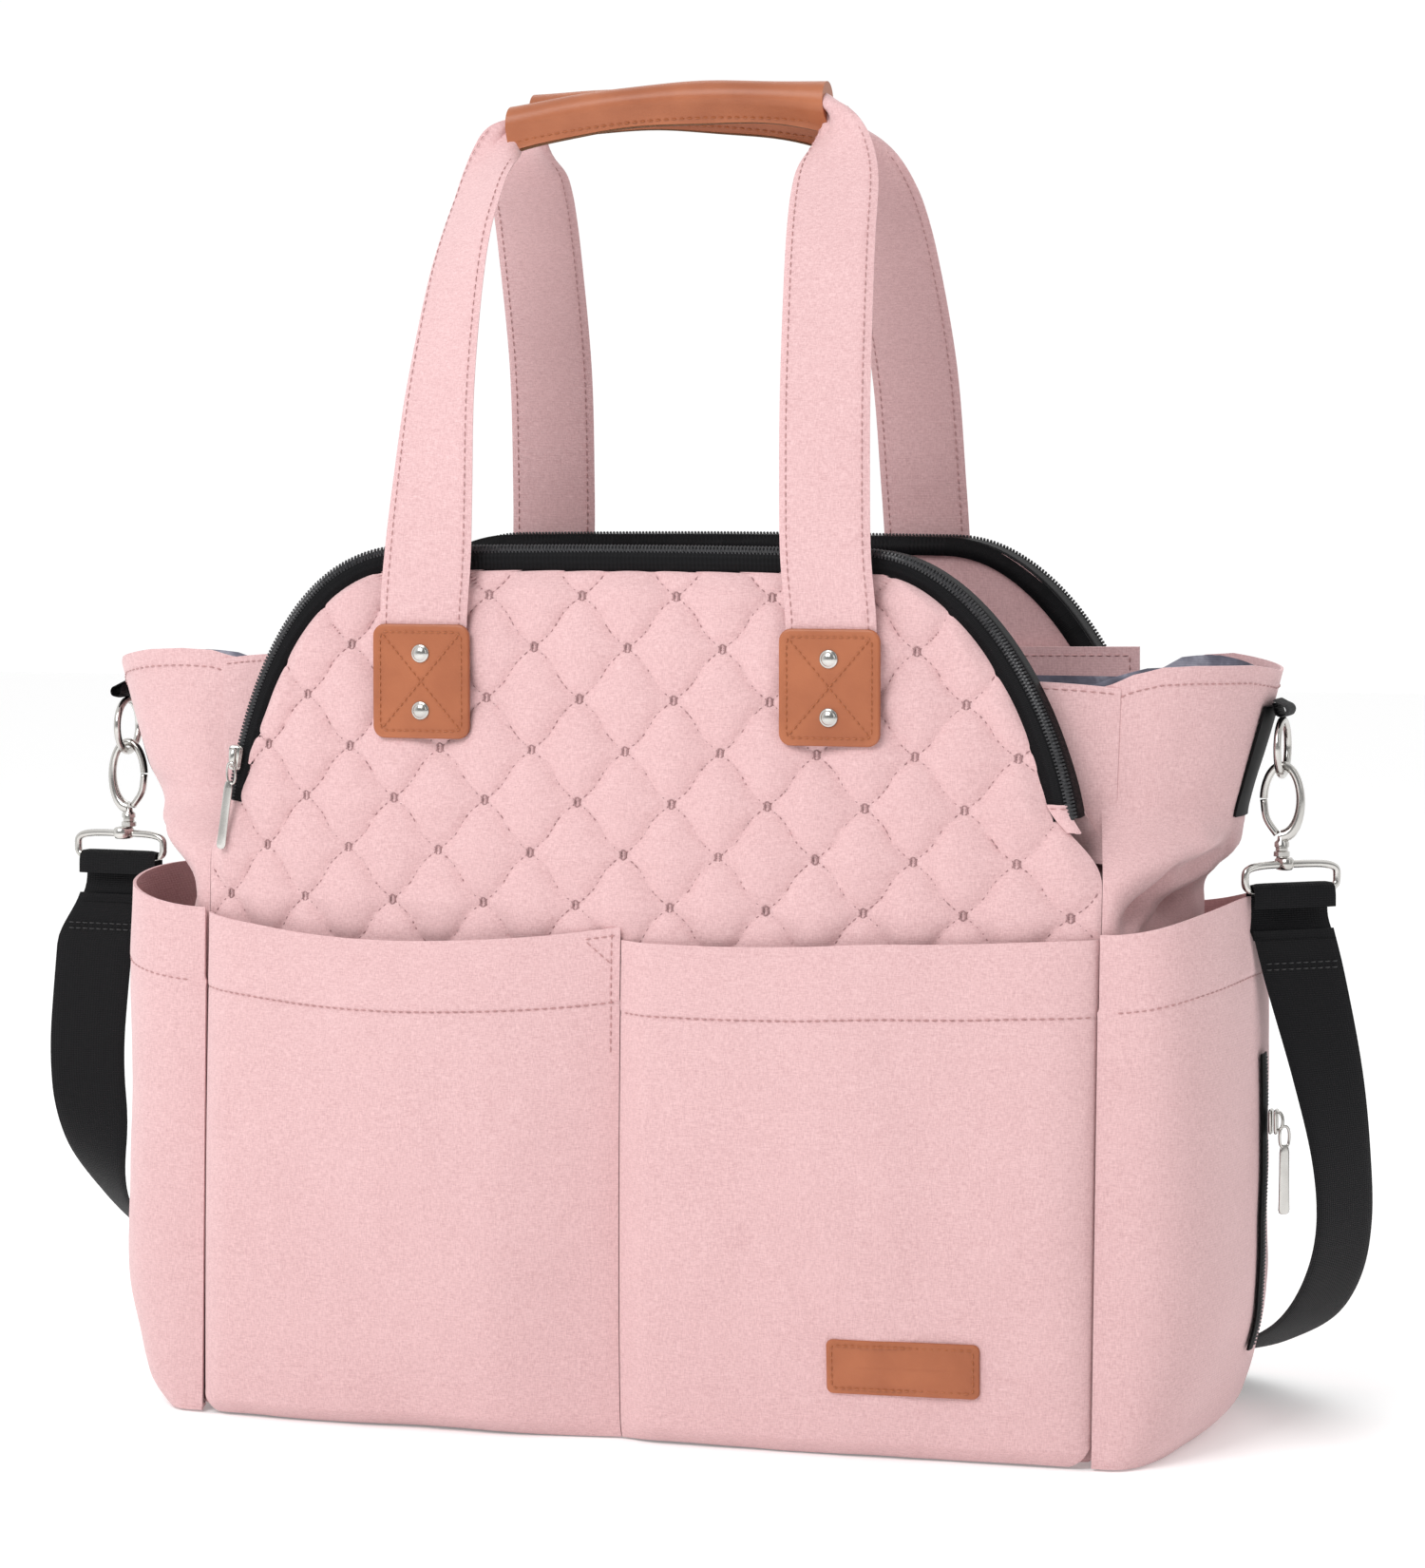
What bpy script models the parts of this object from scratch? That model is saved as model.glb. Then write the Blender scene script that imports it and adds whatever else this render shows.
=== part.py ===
"""Diaper bag: a quilted tote with two zipped arch compartments, an open middle, outer pockets,
two carrying handles and a detachable shoulder strap.

Metres, +Z up. X runs across the bag, the front faces -Y, and the origin is the centre of the base.
"""

import math

import bmesh
import bpy
from mathutils import Vector

MM = 0.001

# Driving dimensions, in millimetres.
GAP = 0.35  # between pieces that touch
FABRIC = 2.0  # sewn fabric with its backing
HALF_WIDTH = 193.0  # centre to the corner seams
ARCH_TOP = 365.0
ARCH_FLAT = 100.0  # half length of the arch's flat top
LEG_TOP = (183.0, 265.0)  # where the arch's straight leg ends and its shoulder begins
LEG_FOOT = (190.0, 228.0)
FRONT_BOTTOM, FRONT_TOP = -80.0, -66.0  # the front panel leans back as it rises
FRONT_BULGE = 8.0
BACK_BOTTOM, BACK_TOP = 80.0, 72.0
BACK_BULGE = 4.0
BACK_LIFT = 3.0  # the back arch stands this much higher than the front one
DIVIDER_FRONT, DIVIDER_BACK = -54.0, 58.0
RIM = 313.0  # height of the open middle's rim
WING_REACH = 255.0  # centre to the tip of each wing
POCKET_RIM = 213.0
SIDE_REACH = 249.0  # centre to the side pockets' bulge
ZIP_BAND = 8.5
TAPE = 1.2
COIL_RADIUS = 1.7
SLIDER_X = 181.6  # the sliders rest low on the arches' left legs
PULLER_LENGTH = 36.0
HANDLE_X = 87.5
HANDLE_WIDTH = 38.0
STRAP_WIDTH = 38.0
PATCH_SIZE = (42.0, 47.0)
PATCH_CENTRE_Z = 309.5
PATCH_Y = 79.0
HANDLE_HINGE_Y, HANDLE_HINGE_Z = 82.5, 335.5  # outside the rivets, so the strap folds over them
HANDLE_FOOT_Z = 336.5
GRIP_HALF = 68.0
GRIP_SAG = 5.0
RING_X = 256.0
RING_CENTRE_Z = 284.0
RING_RADIUS = 11.2
RING_WIRE = 1.5
STRAP_PIVOT_Z = 284.0  # the hooks slide round the D-rings, about their centres
LOOP_X, LOOP_Z = 265.0, 231.0

COLOURS = {
    "pink": ((0.78, 0.48, 0.46), 0.9, 0.0),
    "leather": ((0.55, 0.25, 0.09), 0.5, 0.0),
    "black": ((0.012, 0.012, 0.014), 0.6, 0.0),
    "lining": ((0.15, 0.15, 0.2), 0.8, 0.0),
    "nickel": ((0.75, 0.74, 0.72), 0.22, 1.0),
    "board": ((0.3, 0.3, 0.3), 0.8, 0.0),
}


def clear_scene():
    for item in list(bpy.data.objects):
        bpy.data.objects.remove(item, do_unlink=True)


def material(name, finish):
    colour, roughness, metallic = COLOURS[finish]
    made = bpy.data.materials.new(name)
    made.use_nodes = True
    shader = made.node_tree.nodes["Principled BSDF"]
    shader.inputs["Base Color"].default_value = (*colour, 1.0)
    shader.inputs["Roughness"].default_value = roughness
    shader.inputs["Metallic"].default_value = metallic
    return made


def place(name, data, finish, origin=(0, 0, 0)):
    """An object whose data is already about its own origin, all in millimetres."""
    made = bpy.data.objects.new(name, data)
    data.materials.append(material(name, finish))
    made.location = Vector(origin) * MM
    bpy.context.scene.collection.objects.link(made)
    return made


def mesh_from(name, shape):
    bmesh.ops.recalc_face_normals(shape, faces=shape.faces)
    data = bpy.data.meshes.new(name)
    shape.to_mesh(data)
    shape.free()
    return data


def sheet(name, surface, columns, rows, thickness, finish, side=-1.0):
    """A grid surface(u, v) -> (x, y, z) in mm, thickened away from its outer face."""
    shape = bmesh.new()
    grid = [
        [
            shape.verts.new(Vector(surface(i / columns, j / rows)) * MM)
            for i in range(columns + 1)
        ]
        for j in range(rows + 1)
    ]
    for j in range(rows):
        for i in range(columns):
            shape.faces.new(
                (grid[j][i], grid[j][i + 1], grid[j + 1][i + 1], grid[j + 1][i])
            )
    data = bpy.data.meshes.new(name)
    shape.to_mesh(data)
    shape.free()
    made = place(name, data, finish)
    solid = made.modifiers.new("thickness", "SOLIDIFY")
    solid.thickness = thickness * MM
    solid.offset = side
    return made


def loft(name, rings, finish, origin=(0, 0, 0), closed=False):
    """Rings of equal count joined in order; the ends are capped unless closed."""
    shape = bmesh.new()
    start = Vector(origin)
    loops = [
        [shape.verts.new((Vector(point) - start) * MM) for point in ring]
        for ring in rings
    ]
    pairs = list(zip(loops, loops[1:]))
    if closed:
        pairs.append((loops[-1], loops[0]))
    for first, second in pairs:
        for i in range(len(first)):
            after = (i + 1) % len(first)
            shape.faces.new((first[i], first[after], second[after], second[i]))
    if not closed:
        shape.faces.new(loops[0])
        shape.faces.new(loops[-1])
    return place(name, mesh_from(name, shape), finish, origin)


def ribbon(name, stations, width, thickness, finish, origin=(0, 0, 0), pinch=None):
    """A flat strap: each station is (point, width direction); pinch scales the width."""
    points = [Vector(point) for point, _ in stations]
    rings = []
    for i, (_, across) in enumerate(stations):
        along = (points[min(i + 1, len(points) - 1)] - points[max(i - 1, 0)]).normalized()
        wide = Vector(across)
        wide = (wide - wide.dot(along) * along).normalized()
        out = along.cross(wide)
        share = pinch[i] if pinch else 1.0
        half, thin = wide * width * share / 2, out * thickness / 2
        centre = points[i]
        rings.append(
            [centre - half - thin, centre + half - thin, centre + half + thin, centre - half + thin]
        )
    return loft(name, rings, finish, origin)


def wire(name, points, radius, finish, origin=(0, 0, 0), closed=False, resolution=2):
    data = bpy.data.curves.new(name, "CURVE")
    data.dimensions = "3D"
    data.bevel_depth = radius * MM
    data.bevel_resolution = resolution
    data.use_fill_caps = not closed
    line = data.splines.new("POLY")
    line.use_cyclic_u = closed
    line.points.add(len(points) - 1)
    for target, point in zip(line.points, points):
        target.co = (*((Vector(point) - Vector(origin)) * MM), 1.0)
    return place(name, data, finish, origin)


def block(name, centre, size, finish, bevel=0.0, origin=None):
    """A box with rounded edges."""
    start = Vector(origin if origin else centre)
    shape = bmesh.new()
    bmesh.ops.create_cube(shape, size=MM)
    for corner in shape.verts:
        corner.co = Vector(
            c * s + (m - o) * MM for c, s, m, o in zip(corner.co, size, centre, start)
        )
    if bevel:
        bmesh.ops.bevel(
            shape, geom=shape.edges[:], offset=bevel * MM, segments=2, affect="EDGES",
            profile=0.5,
        )
    return place(name, mesh_from(name, shape), finish, start)


def prism(name, outline, low, high, finish):
    """An outline of (x, z) points extruded along Y from low(x, z) to high(x, z)."""
    rings = [[(x, depth(x, z), z) for x, z in outline] for depth in (low, high)]
    return loft(name, rings, finish)


def bezier(start, pull_start, pull_end, end, steps):
    made = []
    for i in range(steps + 1):
        t = i / steps
        weights = ((1 - t) ** 3, 3 * t * (1 - t) ** 2, 3 * t * t * (1 - t), t**3)
        made.append(
            tuple(
                sum(w * p[k] for w, p in zip(weights, (start, pull_start, pull_end, end)))
                for k in range(len(start))
            )
        )
    return made


def arch_side(inset=0.0, lift=0.0):
    """The right half of the arch from its foot to the top centre, moved inwards by inset."""
    shoulder = bezier(LEG_TOP, (174.5, 309.0), (145.0, ARCH_TOP - 1), (ARCH_FLAT, ARCH_TOP), 10)
    line = [LEG_FOOT] + shoulder + [(50.0, ARCH_TOP + 0.6), (0.0, ARCH_TOP + 0.8)]
    moved = []
    for i, (x, z) in enumerate(line):
        before, after = line[max(i - 1, 0)], line[min(i + 1, len(line) - 1)]
        dx, dz = after[0] - before[0], after[1] - before[1]
        if i == len(line) - 1:
            dz = 0.0
        length = math.hypot(dx, dz)
        moved.append((x - inset * dz / length, z + inset * dx / length + lift))
    return moved


def whole(side):
    """Both halves, from the right foot over the top to the left foot."""
    return side + [(-x, z) for x, z in reversed(side[:-1])]


def front_y(x, z):
    rise = math.sin(math.pi * min(max(z / ARCH_TOP, 0.0), 1.0) * 0.98)
    bulge = FRONT_BULGE * max(0.0, 1 - (x / HALF_WIDTH) ** 2) * math.sqrt(rise)
    return FRONT_BOTTOM + (FRONT_TOP - FRONT_BOTTOM) * z / ARCH_TOP - bulge


def back_y(x, z):
    bulge = BACK_BULGE * max(0.0, 1 - (x / HALF_WIDTH) ** 2)
    return BACK_BOTTOM + (BACK_TOP - BACK_BOTTOM) * z / ARCH_TOP + bulge


def panel(name, face, toward, lift=0.0):
    """A panel under the arch, as a grid whose columns span the outline's width."""
    side = arch_side(ZIP_BAND + 1, lift=lift)
    bottom_x, bottom_z = HALF_WIDTH - 1.0, 3.6
    foot_x, foot_z = side[0]
    rows = []
    for i in range(5):
        rows.append((bottom_x + (foot_x - bottom_x) * i / 5, bottom_z + (foot_z - bottom_z) * i / 5))
    rows += [point for point in side if point[0] >= ARCH_FLAT - 1]

    def surface(u, v):
        x_edge, z = rows[round(v * (len(rows) - 1))]
        x = x_edge * (2 * u - 1)
        return (x, face(x, z), z)

    return sheet(name, surface, 14, len(rows) - 1, FABRIC, "pink", toward)


def smoothstep(low, high, value):
    t = min(max((value - low) / (high - low), 0.0), 1.0)
    return t * t * (3 - 2 * t)


def interpolate(table, z):
    for (z0, x0), (z1, x1) in zip(table, table[1:]):
        if z <= z1:
            return x0 + (x1 - x0) * (z - z0) / (z1 - z0)
    return table[-1][1]


# How far out the side walls' middles stand, as pairs of height and distance.
GUSSET_REACH = (
    (0, 199), (60, 205), (180, 210), (213, 216),
    (233, 224), (254, 238), (281, 246), (RIM, WING_REACH),
)


def gusset_plan(side, t, z, inset=0.0):
    """A point of the side wall's plan at height z; t goes 0 at the front seam to 1 at the back."""
    turn = math.pi * (t - 0.5)
    reach = interpolate(GUSSET_REACH, z) - inset
    lifted = smoothstep(232, 264, z)
    seam_x = (HALF_WIDTH + 1.0) + 6.0 * lifted - inset
    front = front_y(HALF_WIDTH, z) * (1 - lifted) + (DIVIDER_FRONT + 2) * lifted + inset
    back = back_y(HALF_WIDTH, z) * (1 - lifted) + (DIVIDER_BACK - 2) * lifted - inset
    round_off = max(0.0, math.cos(turn)) ** 0.8
    middle, half = (front + back) / 2, (back - front) / 2
    return side * (seam_x + (reach - seam_x) * round_off), middle + half * math.sin(turn), z


def build_body():
    block("base_panel", (0, 0, 1.5), (2 * HALF_WIDTH - 4, 158, 3), "pink", 0.8)
    block("base_board", (0, 0, 4.9), (340, 92, 2.4), "board", 0.4)
    panel("front_panel", front_y, -1.0)
    panel("back_panel", back_y, 1.0, lift=BACK_LIFT)
    for name, depth, lift in (("front", DIVIDER_FRONT, 0.0), ("back", DIVIDER_BACK, BACK_LIFT)):
        side = [(188.0, 8.0), (188.0, 232.0)]
        shoulder = arch_side(1.0, lift=lift)
        if name == "front":
            side += [(196.0, 262.0), (198.0, 308.0), (168.0, 312.0)]
            shoulder = [point for point in shoulder if point[1] > RIM]
        outline = whole(side + shoulder)
        prism(
            f"{name}_divider", outline,
            lambda x, z, d=depth: d - FABRIC / 2, lambda x, z, d=depth: d + FABRIC / 2, "pink",
        )
    block("rim_band", (0, DIVIDER_BACK - 3.4, 304), (362, FABRIC, 36), "pink", 0.5)


def build_arch_zip(name, face, divider, lift):
    """Tape in the panel's plane, the tooth coil at the arch's edge, and tape back to the divider."""
    outward = 1.0 if divider > 0 else -1.0
    inner = whole(arch_side(ZIP_BAND + 0.6, lift=lift))
    outer = whole(arch_side(COIL_RADIUS + 0.5, lift=lift))
    rings = []
    for (xo, zo), (xi, zi) in zip(outer, inner):
        y = face(xi, zi)
        back = y - outward * TAPE
        rings.append([(xo, y, zo), (xi, y, zi), (xi, back, zi), (xo, back, zo)])
    loft(f"zip_tape_outer_{name}", rings, "black")
    coil_line = [(x, face(x, z) - outward * TAPE, z) for x, z in whole(arch_side(lift=lift))]
    wire(f"zip_coil_{name}", coil_line, COIL_RADIUS, "black")
    rings = []
    low, high = arch_side(1.4, lift=lift), arch_side(0.2, lift=lift)
    for (xo, zo), (xi, zi) in zip(whole(high), whole(low)):
        start = face(xo, zo) - outward * (TAPE + COIL_RADIUS + GAP)
        end = divider + outward * (FABRIC / 2 + GAP)
        rings.append([(xo, start, zo), (xo, end, zo), (xi, end, zi), (xi, start, zi)])
    loft(f"zip_tape_inner_{name}", rings, "black")


def build_sides():
    for name, side in (("left", -1), ("right", 1)):

        def gusset(u, v, side=side):
            z = 4.0 + (RIM - 4.0) * v
            return gusset_plan(side, u, z)

        sheet(f"gusset_{name}", gusset, 14, 16, FABRIC, "pink", -side)

        def pocket(u, v, side=side):
            swing = math.pi * (u - 0.5)
            rim = POCKET_RIM + 11 * math.cos(swing)
            z = 1.2 + (rim - 1.2) * v
            belly = SIDE_REACH * smoothstep(-90, 70, z) + 203 * (1 - smoothstep(-90, 70, z))
            belly -= 3 * smoothstep(170, 225, z)
            front = front_y(HALF_WIDTH, z) - 4.5
            back = back_y(HALF_WIDTH, z) + 3.5
            seam = HALF_WIDTH + 3.0
            x = seam + (belly - seam) * max(0.0, math.cos(swing)) ** 0.55
            return side * x, (front + back) / 2 + (back - front) / 2 * math.sin(swing), z

        sheet(f"side_pocket_{name}", pocket, 14, 10, FABRIC, "pink", -side)


def build_lining():
    """An open tub whose ends follow the side walls."""
    rings = []
    for z in (9.0, 60.0, 150.0, 213.0, 233.0, 254.0, 281.0, RIM - 1.0):
        ring = []
        for side in (1, -1):
            steps = [i / 8 for i in range(9)]
            if side < 0:
                steps.reverse()
            for t in steps:
                x, y, _ = gusset_plan(side, t, z, 4.6)
                low, high = DIVIDER_FRONT + 4.2, DIVIDER_BACK - 7.2
                ring.append((x, min(max(y, low), high), z))
        rings.append(ring)
    shape = bmesh.new()
    loops = [[shape.verts.new(Vector(p) * MM) for p in ring] for ring in rings]
    for first, second in zip(loops, loops[1:]):
        for i in range(len(first)):
            after = (i + 1) % len(first)
            shape.faces.new((first[i], first[after], second[after], second[i]))
    shape.faces.new(loops[0])
    made = place("lining", mesh_from("lining", shape), "lining")
    solid = made.modifiers.new("thickness", "SOLIDIFY")
    solid.thickness = 1.2 * MM
    solid.offset = -1.0


def build_front_pockets():
    outer_x, seam_x = HALF_WIDTH - 0.5, 0.8
    for name, low_x, high_x in (("left", -outer_x, -seam_x), ("right", seam_x, outer_x)):

        def surface(u, v, low_x=low_x, high_x=high_x):
            x = low_x + (high_x - low_x) * u
            z = 1.5 + (212.0 - 1.5) * v
            across = max(0.0, math.sin(math.pi * u)) ** 0.6
            upward = max(0.0, math.sin(math.pi * min(1.0, v * 0.95 + 0.05))) ** 0.6
            belly = 2.8 + 11.0 * across * (0.35 + 0.65 * upward)
            return x, front_y(x, z) - belly, z

        sheet(f"front_pocket_{name}", surface, 12, 10, FABRIC, "pink", -1.0)
    block("label_patch", (122.5, -96.2, 38.5), (61, 1.6, 22), "leather", 0.4)


def build_sleeve():
    def surface(u, v):
        x, z = -100 + 200 * u, 95 + 130 * v
        return x, back_y(x, z) + 3.2 + 10.0 * math.sin(math.pi * u), z

    sheet("luggage_sleeve", surface, 10, 4, FABRIC, "pink", 1.0)


def handle_path(front):
    """The right half of a handle, from its patch to the middle of its grip."""
    if front:
        return [
            (87.0, -PATCH_Y, HANDLE_FOOT_Z), (84.5, -76.0, 385.0), (82.5, -69.0, 432.0),
            (78.5, -54.0, 487.0), (74.0, -34.0, 522.0), (69.5, -24.0, 535.0), (0.0, -20.0, 550.0),
        ]
    return [
        (87.0, PATCH_Y, HANDLE_FOOT_Z), (85.0, 76.0, 385.0), (82.5, 66.0, 440.0),
        (78.0, 44.0, 494.0), (73.0, 24.0, 521.0), (69.5, 14.0, 532.0), (0.0, 9.0, 547.0),
    ]


def build_handles():
    for name, front in (("front", True), ("back", False)):
        half = handle_path(front)
        line = [Vector(point) for point in half]
        line += [Vector((-x, y, z)) for x, y, z in reversed(half[:-1])]
        sign = -1 if front else 1
        hinge = (0.0, sign * HANDLE_HINGE_Y, HANDLE_HINGE_Z)
        stations = []
        for i, point in enumerate(line):
            along = (line[min(i + 1, len(line) - 1)] - line[max(i - 1, 0)]).normalized()
            facing = Vector((0.0, 1.0, 0.25))
            stations.append((point, along.cross(facing)))
        keep = [station for station in stations if abs(station[0].x) > 62.0]
        right, left = keep[: len(keep) // 2], keep[len(keep) // 2 :]
        taper = [1.0, 1.0, 1.0, 0.95, 0.75, 0.45]
        for half_name, part, pinch in (("right", right, taper), ("left", left, taper[::-1])):
            ribbon(f"handle_{name}_{half_name}", part, HANDLE_WIDTH, 2.4, "pink", hinge, pinch)
        level = line[len(line) // 2]
        grip = []
        for i in range(13):
            x = GRIP_HALF * (i / 6 - 1)
            arc = GRIP_SAG * (x / GRIP_HALF) ** 2
            grip.append((x, level.y, level.z - arc))
        wire(f"grip_{name}", grip, 7.5, "leather", hinge)
        for half_name, side in (("left", -1), ("right", 1)):
            block(
                f"handle_patch_{name}_{half_name}", (side * HANDLE_X, sign * PATCH_Y, PATCH_CENTRE_Z),
                (PATCH_SIZE[0], 3.0, PATCH_SIZE[1]), "leather", 0.5,
            )
            for level_name, z in (("upper", 321.0), ("lower", 297.5)):
                build_rivet(f"rivet_{name}_{half_name}_{level_name}", side * HANDLE_X, sign, z)


def build_rivet(name, x, sign, z):
    """A domed head turned about the Y axis."""
    profile = [(3.8, 0.0), (3.6, 0.8), (2.6, 1.5), (1.2, 1.9)]
    base = sign * (PATCH_Y + 1.5 + GAP)
    rings = []
    for radius, out in profile:
        rings.append(
            [
                (
                    x + radius * math.cos(2 * math.pi * i / 14),
                    base + sign * out,
                    z + radius * math.sin(2 * math.pi * i / 14),
                )
                for i in range(14)
            ]
        )
    loft(name, rings, "nickel")


# The right half of the shoulder strap: centre line and width direction, loop to middle.
STRAP_ROUTE = (
    ((265, 0, 223), (0.75, 0.66, 0)), ((266, 0, 210), (0.75, 0.66, 0)),
    ((270, 5, 190), (0.78, 0.62, 0)), ((277, 14, 150), (0.85, 0.52, 0)),
    ((283, 20, 115), (0.93, 0.36, 0)), ((284, 28, 86), (0.97, 0.2, 0)),
    ((278, 42, 61), (0.95, 0.2, 0)), ((264, 62, 40), (0.9, 0.35, 0)),
    ((242, 86, 25), (0.75, 0.6, 0)), ((212, 110, 14), (0.55, 0.8, 0)),
    ((175, 128, 7), (0.35, 0.93, 0)), ((130, 141, 4), (0.15, 1, 0)),
    ((70, 148, 3), (0, 1, 0)), ((0, 150, 3), (0, 1, 0)),
)


def smooth_route(route, steps):
    """A Catmull-Rom curve through the route's points and width directions together."""
    rows = []
    for column in (0, 1):
        line = [Vector(station[column]) for station in route]
        ends = [2 * line[0] - line[1], *line, 2 * line[-1] - line[-2]]
        made = []
        for a, b, c, d in zip(ends, ends[1:], ends[2:], ends[3:]):
            for i in range(steps):
                t = i / steps
                square = (2 * a - 5 * b + 4 * c - d) * t * t
                cube = (3 * b - a - 3 * c + d) * t**3
                made.append((2 * b + (c - a) * t + square + cube) / 2)
        made.append(line[-1])
        rows.append(made)
    return list(zip(*rows))


def build_shoulder_strap():
    """One webbing from hook to hook, which lies flat on the ground behind the bag."""
    origin = (0.0, 0.0, STRAP_PIVOT_Z)
    left = []
    for (x, y, z), (wide_x, wide_y, wide_z) in reversed(STRAP_ROUTE[:-1]):
        left.append(((-x, y, z), (-wide_x, wide_y, wide_z)))
    stations = smooth_route(list(STRAP_ROUTE) + left, 5)
    ribbon("shoulder_strap", stations, STRAP_WIDTH, 2.0, "black", origin)
    block("strap_adjuster", (-70.0, 148.0, 5.8), (22, 44, 2.4), "nickel", 0.6, origin)
    for name, side in (("left", -1), ("right", 1)):
        build_hanger(name, side, origin)


def ring_points(centre, across, half_wide, half_high, steps, power=1.0):
    """A closed squarish ring: across is its horizontal direction."""
    wide = Vector(across).normalized()
    made = []
    for i in range(steps):
        angle = 2 * math.pi * i / steps
        c, s = math.cos(angle), math.sin(angle)
        out = half_wide * math.copysign(abs(c) ** power, c)
        up = half_high * math.copysign(abs(s) ** power, s)
        made.append(Vector(centre) + wide * out + Vector((0, 0, up)))
    return made


def build_hanger(name, side, strap_origin):
    """From the wing down: webbing tab, D-ring, swivel hook with its gate, swivel loop."""
    x = side * RING_X
    block(f"d_ring_tab_{name}", (side * 256.9, 0, 300.8), (8.0, 22, 7.0), "black", 1.5)
    bar = (x, 0.0, RING_CENTRE_Z + RING_RADIUS)
    ring = ring_points((x, 0.0, RING_CENTRE_Z), (0, 1, 0), RING_RADIUS, RING_RADIUS, 32)
    wire(f"d_ring_{name}", ring, RING_WIRE, "nickel", bar, closed=True)
    middle, half_high, half_wide = 262.4, 14.4, 7.6
    hook = [(x, 0.0, 239.2), (x, 0.0, middle - half_high - 2.6)]
    for i in range(17):
        angle = -math.pi / 2 + 2 * math.pi * 0.74 * i / 16
        across, up = half_wide * math.cos(angle), half_high * math.sin(angle)
        hook.append((x + side * across, 0.0, middle + up))
    wire(f"hook_{name}", hook, 1.8, "nickel", (x, 0.0, 243.0))
    foot = (x - side * 3.4, 0.0, middle - 12.4)
    gate = [foot, (x - side * 6.4, 0.0, middle - 7.0), (x - side * 7.5, 0.0, middle - 2.6)]
    wire(f"hook_gate_{name}", gate, 1.2, "nickel", foot)
    across = (0.75, side * 0.66, 0.0)
    loop = ring_points((side * LOOP_X, 0.0, LOOP_Z), across, 21.5, 5.6, 24, 0.5)
    wire(f"swivel_loop_{name}", loop, 1.6, "nickel", strap_origin, closed=True)


def build_slider(name, at, outward, aside=0.0):
    """A zip slider with its hanging puller, which is moved aside in X by the amount given."""
    size, puller = (6.0, 4.4, 10.5), (5.5, 1.4, PULLER_LENGTH)
    if outward[0]:
        size, puller = (4.4, 6.0, 10.5), (1.4, 5.5, PULLER_LENGTH)
    block(f"zip_slider_{name}", at, size, "nickel", 1.0)
    hinge = Vector(at) + Vector(outward) * 4.0 + Vector((0, 0, -2.0))
    centre = hinge + Vector((aside, 0, -PULLER_LENGTH / 2))
    block(f"zip_puller_{name}", centre, puller, "nickel", 0.5, hinge)


def build_sliders():
    front = front_y(178.0, 278.0) - 4.1
    build_slider("front", (-SLIDER_X, front, 276.0), (0, -1, 0), -2.0)
    back = back_y(178.0, 279.0) + 4.1
    build_slider("back", (-SLIDER_X, back, 279.0), (0, 1, 0), -2.0)
    build_slider("side", (SIDE_REACH + 6.6, 0, 131.0), (1, 0, 0))
    block("side_zip_tape", (SIDE_REACH + 1.9, 0, 98.0), (2.4, 9.0, 122.0), "black", 0.3)


def main():
    clear_scene()
    build_body()
    build_arch_zip("front", front_y, DIVIDER_FRONT, 0.0)
    build_arch_zip("back", back_y, DIVIDER_BACK, BACK_LIFT)
    build_sides()
    build_lining()
    build_front_pockets()
    build_sleeve()
    build_handles()
    build_shoulder_strap()
    build_sliders()


main()
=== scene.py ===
"""Looks of the diaper bag: sewn pink fabric, quilting, zips, leather, webbing and hardware.

Geometry is worked out in millimetres in the frame's own axes, and MM turns it into metres.
"""

import math

import bmesh
import bpy
from mathutils import Matrix, Vector, noise


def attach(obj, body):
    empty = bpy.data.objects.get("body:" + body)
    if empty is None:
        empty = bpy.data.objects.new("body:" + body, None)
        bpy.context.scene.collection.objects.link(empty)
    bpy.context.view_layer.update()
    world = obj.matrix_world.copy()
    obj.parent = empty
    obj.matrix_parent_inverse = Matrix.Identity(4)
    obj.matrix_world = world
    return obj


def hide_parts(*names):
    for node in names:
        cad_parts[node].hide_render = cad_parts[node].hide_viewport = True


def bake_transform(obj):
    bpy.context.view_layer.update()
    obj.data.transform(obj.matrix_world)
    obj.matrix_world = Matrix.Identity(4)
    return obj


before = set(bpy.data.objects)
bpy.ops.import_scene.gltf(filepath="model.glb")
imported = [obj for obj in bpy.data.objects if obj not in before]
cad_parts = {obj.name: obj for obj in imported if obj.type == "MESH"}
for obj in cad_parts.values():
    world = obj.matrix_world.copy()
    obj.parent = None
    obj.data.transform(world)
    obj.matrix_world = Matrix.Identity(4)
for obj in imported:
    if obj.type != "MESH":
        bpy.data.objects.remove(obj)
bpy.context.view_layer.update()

MM = 0.001
TAU = 2 * math.pi

# The bag's driving dimensions, as in the CAD model.
HALF_WIDTH = 193.0
ARCH_TOP = 365.0
ARCH_FLAT = 100.0
LEG_FOOT, LEG_TOP = (190.0, 228.0), (183.0, 265.0)
FRONT_BOTTOM, FRONT_TOP, FRONT_BULGE = -80.0, -66.0, 8.0
BACK_BOTTOM, BACK_TOP, BACK_BULGE = 80.0, 72.0, 4.0
DIVIDER_FRONT, DIVIDER_BACK = -54.0, 58.0
BACK_LIFT = 3.0
RIM = 313.0
POCKET_RIM = 213.0
SIDE_SLIDER_Z = 131
SIDE_REACH = 249.0
ZIP_BAND = 9.5
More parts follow.
